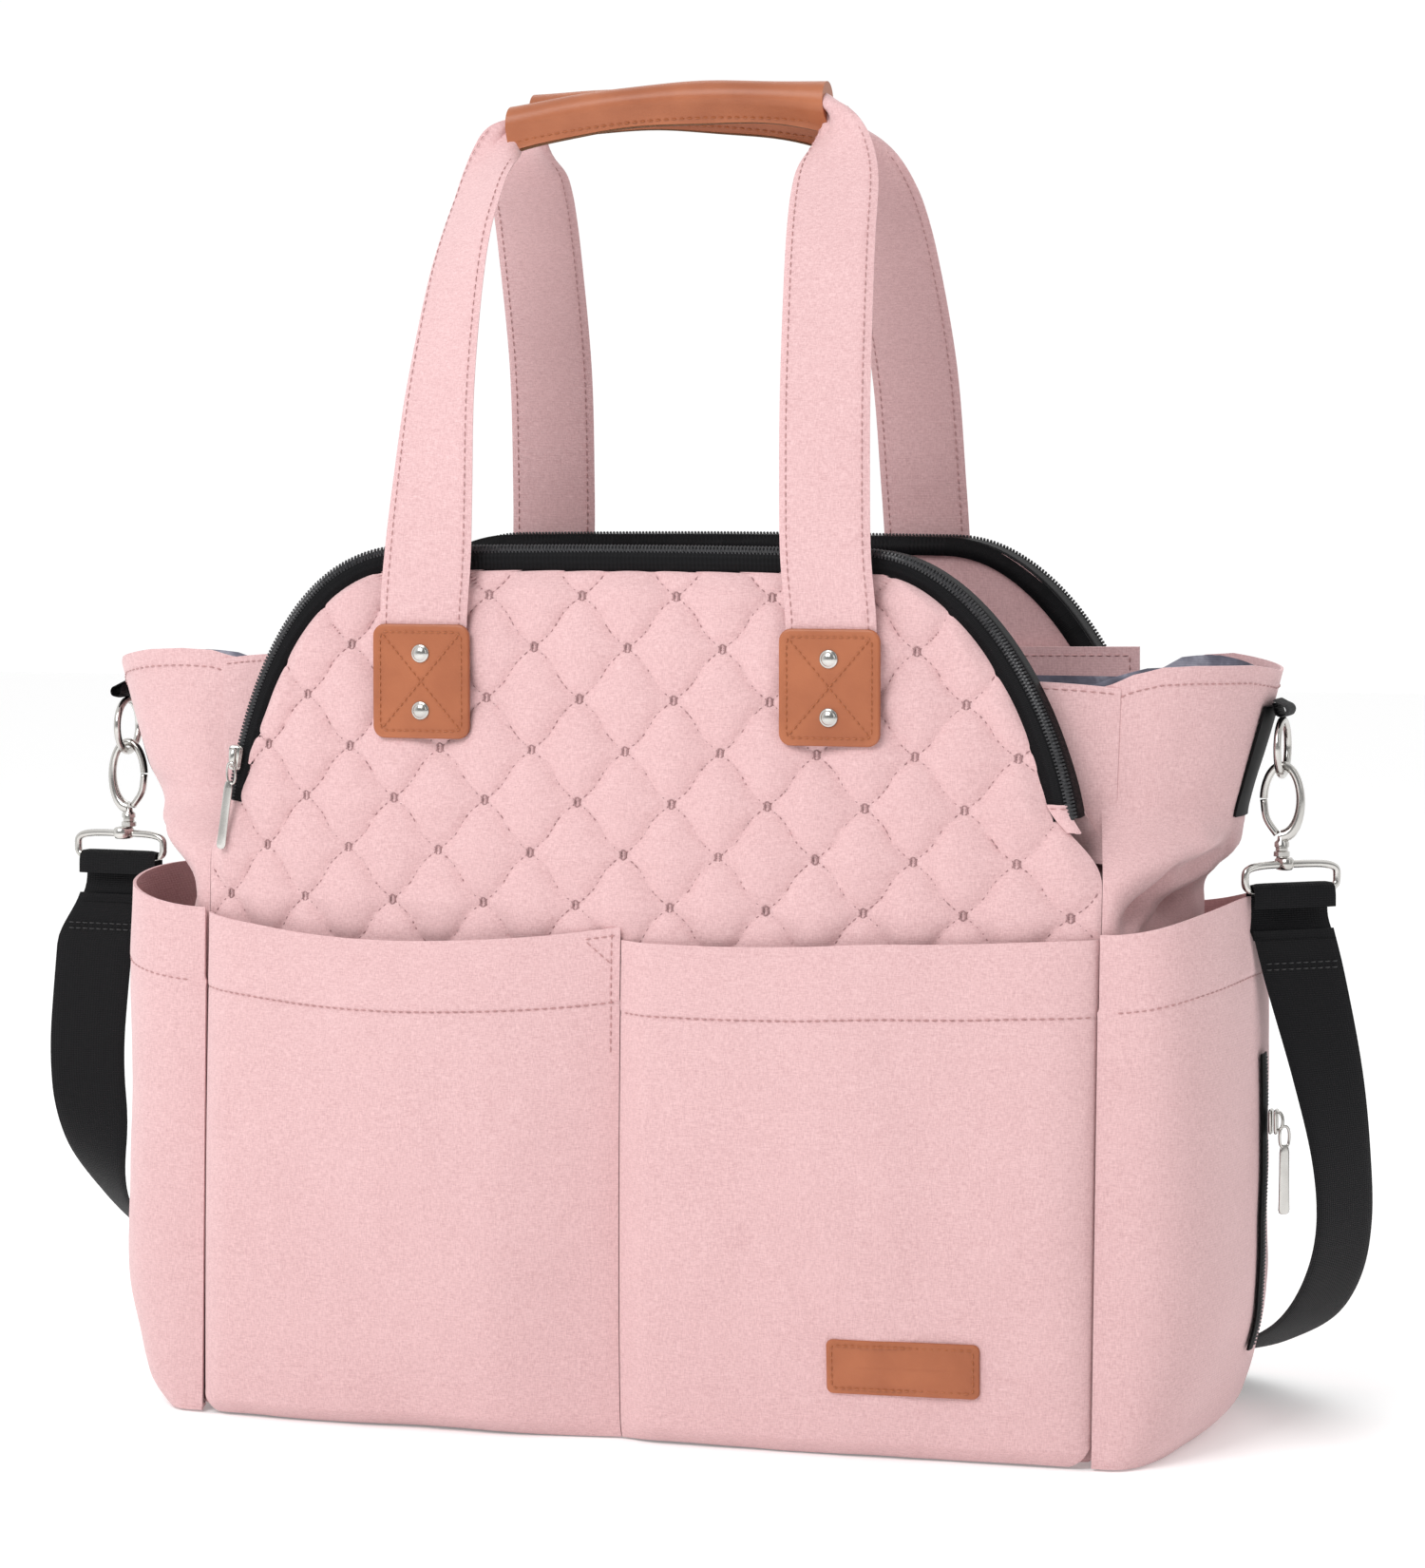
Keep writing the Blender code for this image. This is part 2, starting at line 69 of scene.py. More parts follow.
# z, and how far out the middle of a side stands there
GUSSET_REACH = (
    (0, 199), (60, 205), (180, 210), (213, 216), (233, 224), (254, 238), (281, 246), (RIM, 255),
)
HANDLE_WIDTH = 38.0
STRAP_WIDTH = 38.0
RING_X, RING_CENTRE_Z = 256.0, 284.0
LOOP_X, LOOP_Z = 260.0, 231.0
QUILT_WIDE, QUILT_HIGH, QUILT_TOP, QUILT_CURVE = 40.5, 21.0, 345.0, 0.42
STITCH_PITCH = 3.4
PANEL_FOOT = 3.6
GUSSET_FOOT = 4.0
POCKET_FOOT, POCKET_TOP = 0.9, 211.0
POCKET_EDGES = {"left": (-193.5, -0.2), "right": (0.2, 193.5)}
POCKET_HEM, SIDE_POCKET_HEM, GUSSET_HEM = 0.8545, 0.854, 0.978  # shares of the height
SIDE_POCKET_FOOT, SIDE_POCKET_RISE = 1.0, 11
BOTH_SIDES = (("left", -1), ("right", 1))
SLIDER_SPOTS = ("front", "back", "side")
# The bodies whose pieces follow the bag's slumped shape.
SETTLED = {"bag"} | {f"{part}_{spot}" for part in ("slider", "puller") for spot in SLIDER_SPOTS}


# ---------------------------------------------------------------- camera, lights and floor

def look_from(azimuth, elevation, distance, target):
    az, el = math.radians(azimuth), math.radians(elevation)
    back = Vector((math.sin(az) * math.cos(el), -math.cos(az) * math.cos(el), math.sin(el)))
    return Vector(target) + back * distance


def aim(item, target, up="Y"):
    direction = Vector(target) - item.location
    item.rotation_euler = direction.to_track_quat("-Z", up).to_euler()


def make_camera():
    data = bpy.data.cameras.new("camera")
    data.lens = 110.0
    data.sensor_width = 36.0
    data.clip_end = 50.0
    camera = bpy.data.objects.new("camera", data)
    bpy.context.scene.collection.objects.link(camera)
    target = (0.013, 0.0, 0.264)
    camera.location = look_from(17.7, 4.0, 2.02, target)
    aim(camera, target)
    bpy.context.scene.camera = camera


def area_light(name, azimuth, elevation, distance, size, power, target=(0, 0, 0.25)):
    data = bpy.data.lights.new(name, "AREA")
    data.shape = "RECTANGLE"
    data.size, data.size_y = size
    data.energy = power
    light = bpy.data.objects.new(name, data)
    bpy.context.scene.collection.objects.link(light)
    light.location = look_from(azimuth, elevation, distance, target)
    aim(light, target)


def make_studio():
    world = bpy.data.worlds.new("studio")
    world.use_nodes = True
    tree = world.node_tree
    facing = tree.nodes.new("ShaderNodeVectorMath")
    facing.operation = "DOT_PRODUCT"
    facing.inputs[1].default_value = (0.45, -0.89, -0.1)
    coordinates = tree.nodes.new("ShaderNodeTexCoord")
    tree.links.new(coordinates.outputs["Generated"], facing.inputs[0])
    dimmed = tree.nodes.new("ShaderNodeMapRange")
    dimmed.interpolation_type = "SMOOTHSTEP"
    for socket, value in (("From Min", -0.15), ("From Max", 0.75), ("To Min", 1.03), ("To Max", 0.28)):
        dimmed.inputs[socket].default_value = value
    tree.links.new(facing.outputs["Value"], dimmed.inputs["Value"])
    tree.links.new(dimmed.outputs["Result"], tree.nodes["Background"].inputs["Strength"])
    tree.nodes["Background"].inputs["Color"].default_value = (1.0, 1.0, 1.0, 1.0)
    bpy.context.scene.world = world
    bpy.context.scene.view_settings.view_transform = "Standard"
    # Azimuth, elevation, distance, size and power; azimuth 0 is straight in front.
    area_light("key", -15, 36, 2.2, (1.1, 1.1), 28)
    area_light("fill", 62, 24, 2.4, (0.7, 1.6), 4)
    area_light("rim", 190, 50, 2.4, (1.6, 1.0), 5)
    shape = bmesh.new()
    bmesh.ops.create_grid(shape, x_segments=1, y_segments=1, size=6.0)
    data = bpy.data.meshes.new("floor")
    shape.to_mesh(data)
    shape.free()
    floor = bpy.data.objects.new("floor", data)
    bpy.context.scene.collection.objects.link(floor)
    white = bpy.data.materials.new("floor")
    white.use_nodes = True
    shader = white.node_tree.nodes["Principled BSDF"]
    shader.inputs["Base Color"].default_value = (0.93, 0.93, 0.93, 1)
    shader.inputs["Roughness"].default_value = 0.9
    shader.inputs["Emission Color"].default_value = (1, 1, 1, 1)
    shader.inputs["Emission Strength"].default_value = 0.2
    data.materials.append(white)


# ---------------------------------------------------------------- materials

class Look:
    """A material being built: nodes are added by type, and their inputs set by name."""

    def __init__(self, name, roughness, metallic=0.0, sheen=0.0, specular=0.5):
        self.material = bpy.data.materials.new(name)
        self.material.use_nodes = True
        self.tree = self.material.node_tree
        self.shader = self.tree.nodes["Principled BSDF"]
        for socket, value in (
            ("Roughness", roughness), ("Metallic", metallic), ("Sheen Weight", sheen),
            ("Sheen Roughness", 0.6), ("Specular IOR Level", specular),
        ):
            self.shader.inputs[socket].default_value = value
        self.coordinates = self.tree.nodes.new("ShaderNodeTexCoord")

    def node(self, kind, **inputs):
        made = self.tree.nodes.new(kind)
        for key, value in inputs.items():
            self.join(value, made.inputs[key.replace("_", " ")])
        return made

    def join(self, value, socket):
        if isinstance(value, bpy.types.NodeSocket):
            self.tree.links.new(value, socket)
        else:
            socket.default_value = value

    def mapped(self, scale, source="Object"):
        """Coordinates times scale, which is one number or three."""
        scale = scale if isinstance(scale, tuple) else (scale,) * 3
        place = self.coordinates.outputs[source]
        return self.node("ShaderNodeMapping", Vector=place, Scale=scale).outputs["Vector"]

    def noise(self, scale, detail=2.0):
        made = self.node("ShaderNodeTexNoise", Vector=self.mapped(scale), Scale=1.0, Detail=detail)
        return made.outputs["Fac"]

    def math(self, operation, first, second=0.0):
        made = self.tree.nodes.new("ShaderNodeMath")
        made.operation = operation
        self.join(first, made.inputs[0])
        self.join(second, made.inputs[1])
        return made.outputs[0]

    def sum(self, first, share, second, other_share):
        parts = [self.math("MULTIPLY", first, share), self.math("MULTIPLY", second, other_share)]
        return self.math("ADD", *parts)

    def ramp(self, factor, stops):
        made = self.node("ShaderNodeValToRGB", Fac=factor)
        elements = made.color_ramp.elements
        while len(elements) < len(stops):
            elements.new(0.5)
        for element, (place, colour) in zip(elements, stops):
            element.position = place
            element.color = (*colour, 1.0)
        return made.outputs["Color"]

    def colour(self, socket):
        self.join(socket, self.shader.inputs["Base Color"])

    def bump(self, height, strength, distance):
        made = self.node("ShaderNodeBump", Height=height, Strength=strength, Distance=distance * MM)
        self.tree.links.new(made.outputs["Normal"], self.shader.inputs["Normal"])


def woven(look, pitch):
    """A plain weave's height: two sets of threads, each along one direction in the fabric's plane."""
    turns = 1000.0 / pitch
    warp = look.node("ShaderNodeTexWave", Vector=look.mapped(turns), Scale=0.16, Distortion=1.2)
    warp.bands_direction = "Z"
    weft = look.node("ShaderNodeTexWave", Vector=look.mapped(turns), Scale=0.12, Distortion=1.5)
    weft.bands_direction = "DIAGONAL"
    return look.math("ADD", warp.outputs["Fac"], weft.outputs["Fac"])


def heathered(name, dark, middle, light, sheen=0.25):
    """Melange fabric: short horizontal and vertical flecks of lighter and darker yarn."""
    look = Look(name, 0.92, sheen=sheen, specular=0.2)
    across = look.noise((480, 480, 2600), 2.0)
    upward = look.noise((2300, 2300, 460), 2.0)
    soft = look.noise(35, 3.0)
    flecks = look.math("MULTIPLY", look.math("ADD", across, upward), 0.5)
    shaded = look.sum(flecks, 0.93, soft, 0.07)
    look.colour(look.ramp(shaded, [(0.36, dark), (0.5, middle), (0.64, light)]))
    look.bump(look.sum(flecks, 1.0, woven(look, 0.55), 0.3), 0.35, 0.25)
    return look.material


def leather_look():
    look = Look("leather", 0.42, specular=0.45)
    blotch = look.noise(45, 3.0)
    look.colour(look.ramp(blotch, [(0.3, (0.325, 0.094, 0.036)), (0.7, (0.405, 0.128, 0.052))]))
    grain = look.node("ShaderNodeTexVoronoi", Vector=look.mapped(900), Scale=1.0)
    pores = look.noise(2600, 2.0)
    look.bump(look.sum(grain.outputs["Distance"], 1.0, pores, 0.5), 0.25, 0.15)
    return look.material


def grained(name, roughness, scale, dark, light, bump, detail=2.0, sheen=0.0, specular=0.5):
    """One fine noise for both the colour and the surface; bump is its strength and depth."""
    look = Look(name, roughness, sheen=sheen, specular=specular)
    grain = look.noise(scale, detail)
    look.colour(look.ramp(grain, [(0.3, dark), (0.7, light)]))
    look.bump(grain, *bump)
    return look.material


def webbing_look(name, colour, rib=1.3):
    """Ribbed webbing; U runs across the strap and V along it, both in metres."""
    look = Look(name, 0.6, specular=0.12)
    turns = 1000 / rib
    ribs = look.node("ShaderNodeTexWave", Vector=look.mapped((turns, 0, 0), "UV"), Scale=0.32)
    picks = look.node(
        "ShaderNodeTexWave", Vector=look.mapped((0, turns, 0), "UV"), Scale=0.45, Distortion=0.8,
    )
    picks.bands_direction = "Y"
    yarn = look.noise(1400, 1.0)
    height = look.sum(ribs.outputs["Fac"], 0.7, picks.outputs["Fac"], 1.0)
    light = tuple(c * 2.2 for c in colour)
    look.colour(look.ramp(look.sum(height, 0.4, yarn, 0.4), [(0.2, colour), (0.85, light)]))
    look.bump(height, 0.5, 0.3)
    return look.material


def thread_look(name, colour):
    dark = tuple(c * 0.72 for c in colour)
    return grained(name, 0.6, 2200, dark, colour, (0.4, 0.1), 1.0, 0.2, 0.4)


def nickel_look():
    look = Look("nickel", 0.16, metallic=1.0)
    smear = look.noise(60, 3.0)
    look.colour(look.ramp(smear, [(0.35, (0.50, 0.485, 0.46)), (0.7, (0.62, 0.605, 0.58))]))
    fine = look.noise(900, 2.0)
    wear = look.node("ShaderNodeMapRange", Value=fine, To_Min=0.12, To_Max=0.26)
    look.join(wear.outputs["Result"], look.shader.inputs["Roughness"])
    look.bump(smear, 0.04, 0.2)
    return look.material


def lining_look():
    """Grey lining with a soft, irregular printed mottling."""
    look = Look("lining", 0.7, sheen=0.1, specular=0.3)
    cells = look.node("ShaderNodeTexVoronoi", Vector=look.mapped(60), Scale=1.0)
    drift = look.noise(90, 4.0)
    pattern = look.sum(cells.outputs["Distance"], 0.5, drift, 1.0)
    greys = [(0.55, (0.075, 0.075, 0.105)), (0.8, (0.16, 0.16, 0.21)), (0.95, (0.34, 0.34, 0.41))]
    look.colour(look.ramp(pattern, greys))
    look.bump(woven(look, 0.5), 0.25, 0.15)
    return look.material


LOOKS = {
    "pink": heathered("pink_fabric", (0.585, 0.355, 0.361), (0.665, 0.425, 0.431), (0.738, 0.497, 0.50)),
    "leather": leather_look(),
    "leather_edge": grained(
        "leather_edge", 0.7, 1500, (0.10, 0.045, 0.02), (0.2, 0.09, 0.04), (0.4, 0.2), specular=0.3,
    ),
    "webbing": webbing_look("webbing", (0.0035, 0.0035, 0.004)),
    "tape": webbing_look("zip_tape", (0.003, 0.003, 0.0035), 0.9),
    "coil": grained("coil_black", 0.38, 700, (0.012, 0.012, 0.014), (0.035, 0.035, 0.038), (0.1, 0.1)),
    "nickel": nickel_look(),
    "lining": lining_look(),
    "thread_pink": thread_look("thread_pink", (0.53, 0.28, 0.275)),
    "thread_mauve": thread_look("thread_mauve", (0.39, 0.215, 0.22)),
    "thread_rust": thread_look("thread_rust", (0.42, 0.115, 0.028)),
    "thread_black": thread_look("thread_black", (0.012, 0.012, 0.014)),
}


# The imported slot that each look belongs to; threads have none.
SLOTS = {
    "pink": "pink_fabric", "leather": "leather", "leather_edge": "leather", "webbing": "webbing",
    "tape": "zip_tape", "coil": "zip_coil", "nickel": "nickel", "lining": "lining",
}


# ---------------------------------------------------------------- mesh helpers

def settled(point):
    """The soft body has slumped a little: its left side stands in, and its right seam out."""
    x, y, z = point
    low = 1 - smoothstep(240, 270, z)
    bent = min(max((abs(x) - 130) / 60, 0.0), 1.0) ** 1.5
    outer = smoothstep(198, 246, abs(x))
    shift = 8.0 * (1 - outer * (1 - low)) if x < 0 else 4.0 * (1 - outer)
    return x + shift * bent, y, z


def add_piece(name, shape, look, body="bag", node=None, slot=None, uvs=None, sharp=None):
    """A shape in millimetres that rides on a body, and stands for the CAD node named."""
    points, faces = shape
    if body in SETTLED:
        points = [settled(p) for p in points]
    data = bpy.data.meshes.new(name)
    data.from_pydata([Vector(p) * MM for p in points], [], faces)
    data.materials.append(LOOKS[look])
    if uvs:
        layer = data.uv_layers.new(name="UVMap")
        for loop in data.loops:
            layer.data[loop.index].uv = uvs[loop.vertex_index]
    mesh = bmesh.new()
    mesh.from_mesh(data)
    bmesh.ops.recalc_face_normals(mesh, faces=mesh.faces)
    mesh.to_mesh(data)
    mesh.free()
    data.shade_smooth()
    if sharp:
        data.set_sharp_from_angle(angle=math.radians(sharp))
    item = bpy.data.objects.new(name, data)
    bpy.context.scene.collection.objects.link(item)
    if body:
        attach(item, body)
    if node:
        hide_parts(node)
    slot = SLOTS.get(look) if slot is None else slot
    return item


def squared(value, power):
    """A cosine or sine drawn towards a rectangle's when power is under 1."""
    return math.copysign(abs(value) ** power, value)


def turned(angle, a, b):
    """A place in a plane, turned about the origin."""
    return a * math.cos(angle) - b * math.sin(angle), a * math.sin(angle) + b * math.cos(angle)


def lathed(profile, centre, across, other, axis, sides):
    """A turned part: the profile holds each ring's radius and its place along the axis."""
    centre, across, other, axis = Vector(centre), Vector(across), Vector(other), Vector(axis)
    spokes = [across * math.cos(TAU * i / sides) + other * math.sin(TAU * i / sides) for i in range(sides)]
    return loft([[centre + spoke * radius + axis * place for spoke in spokes] for radius, place in profile])


def even(start, end, steps):
    """Evenly spaced places from start to end, which are numbers or pairs."""
    if isinstance(start, tuple):
        return list(zip(*(even(a, b, steps) for a, b in zip(start, end))))
    return [start + (end - start) * i / steps for i in range(steps + 1)]


def grid_points(surface, columns, rows):
    return [Vector(surface(i / columns, j / rows)) for j in range(rows + 1) for i in range(columns + 1)]


def cloth_sheet(name, surface, columns, rows, thickness, look, side, **options):
    """A grid with real thickness: a second layer along the inward normal, joined at the rim."""
    outer = grid_points(surface, columns, rows)
    width = columns + 1
    normals = []
    for j in range(rows + 1):
        for i in range(width):
            left = outer[j * width + max(i - 1, 0)]
            right = outer[j * width + min(i + 1, columns)]
            down, up = outer[max(j - 1, 0) * width + i], outer[min(j + 1, rows) * width + i]
            across = (right - left).cross(up - down)
            normals.append(across.normalized() if across.length > 1e-9 else Vector((0, 0, 1)))
    inner = [p + n * thickness * side for p, n in zip(outer, normals)]
    count = len(outer)
    faces = []
    for j in range(rows):
        for i in range(columns):
            a = j * width + i
            quad = (a, a + 1, a + width + 1, a + width)
            faces.append(quad)
            faces.append(tuple(count + k for k in reversed(quad)))
    border = list(range(width))
    border += [j * width + columns for j in range(1, rows + 1)]
    border += [rows * width + i for i in range(columns - 1, -1, -1)]
    border += [j * width for j in range(rows - 1, 0, -1)]
    for k, a in enumerate(border):
        b = border[(k + 1) % len(border)]
        faces.append((b, a, count + a, count + b))
    return add_piece(name, (outer + inner, faces), look, sharp=50, **options)


def loft(rings, closed=False, cap=True):
    """Points and faces of rings joined in order."""
    points = [p for ring in rings for p in ring]
    size = len(rings[0])
    faces = []
    last = len(rings) if closed else len(rings) - 1
    for j in range(last):
        after = (j + 1) % len(rings)
        for i in range(size):
            k = (i + 1) % size
            faces.append((j * size + i, j * size + k, after * size + k, after * size + i))
    if cap and not closed:
        faces.append(tuple(range(size - 1, -1, -1)))
        faces.append(tuple((len(rings) - 1) * size + i for i in range(size)))
    return points, faces


def merge(parts):
    """Several (points, faces) as one."""
    points, faces = [], []
    for some_points, some_faces in parts:
        start = len(points)
        points += some_points
        faces += [tuple(start + i for i in face) for face in some_faces]
    return points, faces


def smooth_line(points, steps):
    """A Catmull-Rom curve through the points, with steps spans between each pair."""
    line = [Vector(p) for p in points]
    padded = [2 * line[0] - line[1], *line, 2 * line[-1] - line[-2]]
    made = []
    for a, b, c, d in zip(padded, padded[1:], padded[2:], padded[3:]):
        for i in range(steps):
            t = i / steps
            bend, twist = 2 * a - 5 * b + 4 * c - d, 3 * b - a - 3 * c + d
            made.append(0.5 * (2 * b + (c - a) * t + bend * t * t + twist * t**3))
    made.append(line[-1])
    return made


def tangents(points, closed=False):
    count = len(points)
    made = []
    for i in range(count):
        before = points[i - 1] if closed or i else points[0]
        after = points[(i + 1) % count] if closed or i < count - 1 else points[-1]
        made.append((after - before).normalized())
    return made


def tube(points, radius, sides=12, closed=False, flat=None):
    """A round or (with flat) oval tube; radius may be a number or a list."""
    points = [Vector(p) for p in points]
    along = tangents(points, closed)
    side = along[0].orthogonal().normalized()
    rings = []
    for i, (point, ahead) in enumerate(zip(points, along)):
        side = (side - side.dot(ahead) * ahead).normalized()
        if flat is not None:
            side = (Vector(flat) - Vector(flat).dot(ahead) * ahead).normalized()
        other = ahead.cross(side)
        size = radius[i] if isinstance(radius, list) else radius
        wide, thin = size if isinstance(size, tuple) else (size, size)
        ring = []
        for k in range(sides):
            angle = TAU * k / sides
            ring.append(point + side * math.cos(angle) * wide + other * math.sin(angle) * thin)
        rings.append(ring)
    return loft(rings, closed)


def strip(line, wides, outs, widths, thickness, across):
    """A strap along line, as points, faces and uvs; wides and outs are its width and face directions."""
    rings, uvs = [], []
    travelled = 0.0
    for i, point in enumerate(line):
        if i:
            travelled += (line[i] - line[i - 1]).length
        wide, out = wides[i].normalized(), outs[i].normalized()
        half = widths[i] / 2
        ring = []
        for face, order in ((1, range(across + 1)), (-1, range(across, -1, -1))):
            for k in order:
                t = 2 * k / across - 1
                height = face * thickness / 2 * max((1 - t**8) ** 0.5, 0.12)
                ring.append(point + wide * half * t + out * height)
                uvs.append((half * t * MM, travelled * MM))
        rings.append(ring)
    points, faces = loft(rings)
    return points, faces, uvs


def stitch_shapes(line, normals, pitch=STITCH_PITCH, radius=0.32, fill=0.68, sink=0.0):
    """Thread dashes along a line of points, each an arched grain on the surface."""
    lengths = [0.0]
    for a, b in zip(line, line[1:]):
        lengths.append(lengths[-1] + (b - a).length)
    total = lengths[-1]
    count = max(1, round(total / pitch))
    step = total / count
    shapes, index = [], 0
    for k in range(count):
        stations = []
        for s in range(4):
            want = (k + 0.5) * step + (s / 3 - 0.5) * step * fill
            while index and lengths[index] > want:
                index -= 1
            while index < len(lengths) - 2 and lengths[index + 1] < want:
                index += 1
            span = max(lengths[index + 1] - lengths[index], 1e-6)
            t = (want - lengths[index]) / span
            place = line[index].lerp(line[index + 1], t)
            normal = normals[index].lerp(normals[index + 1], t).normalized()
            lift = (0.1 if s in (0, 3) else 0.85) * radius - sink
            stations.append(place + normal * lift)
        sizes = [radius * 0.45, radius, radius, radius * 0.45]
        shapes.append(tube(stations, sizes, sides=5))
    return shapes


def add_stitches(name, runs, look, body="bag", **options):
    shapes = []
    for line, normals in runs:
        shapes += stitch_shapes(line, normals, **options)
    return add_piece(name, merge(shapes), look, body, sharp=60)


def run_on(surface, path, lift=0.05):
    """A stitch run over a surface(u, v): path is a list of (u, v)."""
    line, normals = [], []
    small = 0.004
    for u, v in path:
        here = Vector(surface(u, v))
        right = Vector(surface(min(u + small, 1), v)) - Vector(surface(max(u - small, 0), v))
        up = Vector(surface(u, min(v + small, 1))) - Vector(surface(u, max(v - small, 0)))
        normals.append(right.cross(up).normalized())
        line.append(here + normals[-1] * lift)
    return line, normals


def flipped(run, lift=0.1):
    line, normals = run
    return [p - n * lift for p, n in zip(line, normals)], [-n for n in normals]


# ---------------------------------------------------------------- the bag's surfaces

def smoothstep(low, high, value):
    t = min(max((value - low) / (high - low), 0.0), 1.0)
    return t * t * (3 - 2 * t)


def interpolate(table, z):
    for (z0, x0), (z1, x1) in zip(table, table[1:]):
        if z <= z1:
            return x0 + (x1 - x0) * (z - z0) / (z1 - z0)
    return table[-1][1]


def front_y(x, z):
    rise = math.sin(math.pi * min(max(z / ARCH_TOP, 0.0), 1.0) * 0.98)
    bulge = FRONT_BULGE * max(0.0, 1 - (x / HALF_WIDTH) ** 2) * math.sqrt(rise)
    return FRONT_BOTTOM + (FRONT_TOP - FRONT_BOTTOM) * z / ARCH_TOP - bulge


def back_y(x, z):
    bulge = BACK_BULGE * max(0.0, 1 - (x / HALF_WIDTH) ** 2)
    return BACK_BOTTOM + (BACK_TOP - BACK_BOTTOM) * z / ARCH_TOP + bulge


def bezier(start, pull_start, pull_end, end, steps):
    made = []
    corners = (start, pull_start, pull_end, end)
    for t in even(0, 1, steps):
        weights = ((1 - t) ** 3, 3 * t * (1 - t) ** 2, 3 * t * t * (1 - t), t**3)
        made.append(tuple(sum(w * p[k] for w, p in zip(weights, corners)) for k in range(2)))
    return made


def arch_side(inset=0.0, lift=0.0):
    """The right half of the arch from its foot to the top centre, moved inwards by inset."""
    leg = even(LEG_FOOT, LEG_TOP, 6)[:-1]
    shoulder = bezier(LEG_TOP, (174.5, 309.0), (145.0, ARCH_TOP - 1), (ARCH_FLAT, ARCH_TOP), 40)
    shares = even(0, 1, 12)[1:]
    top = [(ARCH_FLAT * (1 - s), ARCH_TOP + 0.8 * math.sin(math.pi / 2 * s)) for s in shares]
    line = leg + shoulder + top
    moved = []
    for i, (x, z) in enumerate(line):
        before, after = line[max(i - 1, 0)], line[min(i + 1, len(line) - 1)]
        dx, dz = after[0] - before[0], after[1] - before[1]
        if i == len(line) - 1:
            dz = 0.0
        length = math.hypot(dx, dz)
        moved.append((x - inset * dz / length, z + inset * dx / length + lift))
    return moved


def whole(side):
    return side + [(-x, z) for x, z in reversed(side[:-1])]


ARCH_SIDES = {}


def arch_width(z, inset, lift=0.0):
    """Half width of the panel under the arch at height z."""
    side = ARCH_SIDES.setdefault((inset, lift), arch_side(inset, lift))
    low = HALF_WIDTH + 0.8
    if z <= side[0][1]:
        return low
    for (x0, z0), (x1, z1) in zip(side, side[1:]):
        if z <= z1:
            under = x0 + (x1 - x0) * (z - z0) / max(z1 - z0, 1e-6)
            return low + (under - low) * smoothstep(LEG_FOOT[1] + 4, LEG_TOP[1], z)
    return side[-13][0]


def ripple(x, y, z, scale, amount, seed=0.0):
    """A smooth irregular displacement; scale is in cycles per millimetre for each axis."""
    place = [p * s + seed for p, s in zip((x, y, z), scale)]
    return amount * noise.noise(Vector(place))


def quilt_phase(x, z):
    """Diagonal coordinates that are whole numbers on the stitch lines."""
    rise = (z - QUILT_TOP) / QUILT_HIGH
    bent = rise + QUILT_CURVE * math.sin(TAU * rise) / TAU
    return (x - QUILT_WIDE / 2) / QUILT_WIDE + bent / 2, (x - QUILT_WIDE / 2) / QUILT_WIDE - bent / 2


def quilt_puff(x, z):
    a, b = quilt_phase(x, z)
    pillow = abs(math.sin(math.pi * a) * math.sin(math.pi * b))
    return 4.6 * pillow**0.5 + ripple(x, 0, z, (0.09, 0, 0.09), 0.35)


def gusset_point(side, t, z, inset=0.0):
    turn = math.pi * (t - 0.5)
    reach = interpolate(GUSSET_REACH, z) - inset
    lifted = smoothstep(232, 264, z)
    seam_x = HALF_WIDTH + 1.0 - 5.0 * lifted - inset
    front = front_y(HALF_WIDTH, z) * (1 - lifted) + (DIVIDER_FRONT + 2) * lifted + inset
    back = back_y(HALF_WIDTH, z) * (1 - lifted) + (DIVIDER_BACK - 2) * lifted - inset
    round_off = max(0.0, math.cos(turn)) ** 0.8
    middle, half = (front + back) / 2, (back - front) / 2
    return side * (seam_x + (reach - seam_x) * round_off), middle + half * math.sin(turn), z


# ---------------------------------------------------------------- panels

def front_inset(x, z):
    """The quilting creeps over the zip's tape low on the left leg."""
    return ZIP_BAND - (5.0 * (1 - smoothstep(262, 300, z)) if x < 0 else 0.0)


def front_panel_surface(u, v):
    z = PANEL_FOOT + (ARCH_TOP - ZIP_BAND + 0.4 - PANEL_FOOT) * v
    x = arch_width(z, ZIP_BAND) * (2 * u - 1)
    return x, front_y(x, z), z


def quilted_surface(u, v):
    low, high = 188.0, ARCH_TOP - ZIP_BAND + 0.4
    z = low + (high - low) * v
    x = arch_width(z, front_inset(u - 0.5, z)) * (2 * u - 1)
    edge = min(1.0, (1 - abs(2 * u - 1)) * 24, (1 - v) * 22)
    edge *= 1 - math.exp(-((x / 9) ** 2)) * (1 - smoothstep(207, 216, z))
    return x, front_y(x, z) - quilt_puff(x, z) * edge**0.5, z


def back_panel_surface(u, v):
    z = PANEL_FOOT + (ARCH_TOP + BACK_LIFT - ZIP_BAND + 0.4 - PANEL_FOOT) * v
    x = -arch_width(z, ZIP_BAND, BACK_LIFT) * (2 * u - 1)
    return x, back_y(x, z) + ripple(x, 0, z, (0.012, 0, 0.02), 1.6), z


def divider_surface(depth, lift, facing):
    top = ARCH_TOP + lift - 1.0

    def surface(u, v):
        z = 9.0 + (top - 9.0) * v
        x = facing * arch_width(z, 1.2, lift) * (2 * u - 1)
        return x, depth + ripple(x, depth, z, (0.01, 0, 0.016), 0.8), z

    return surface


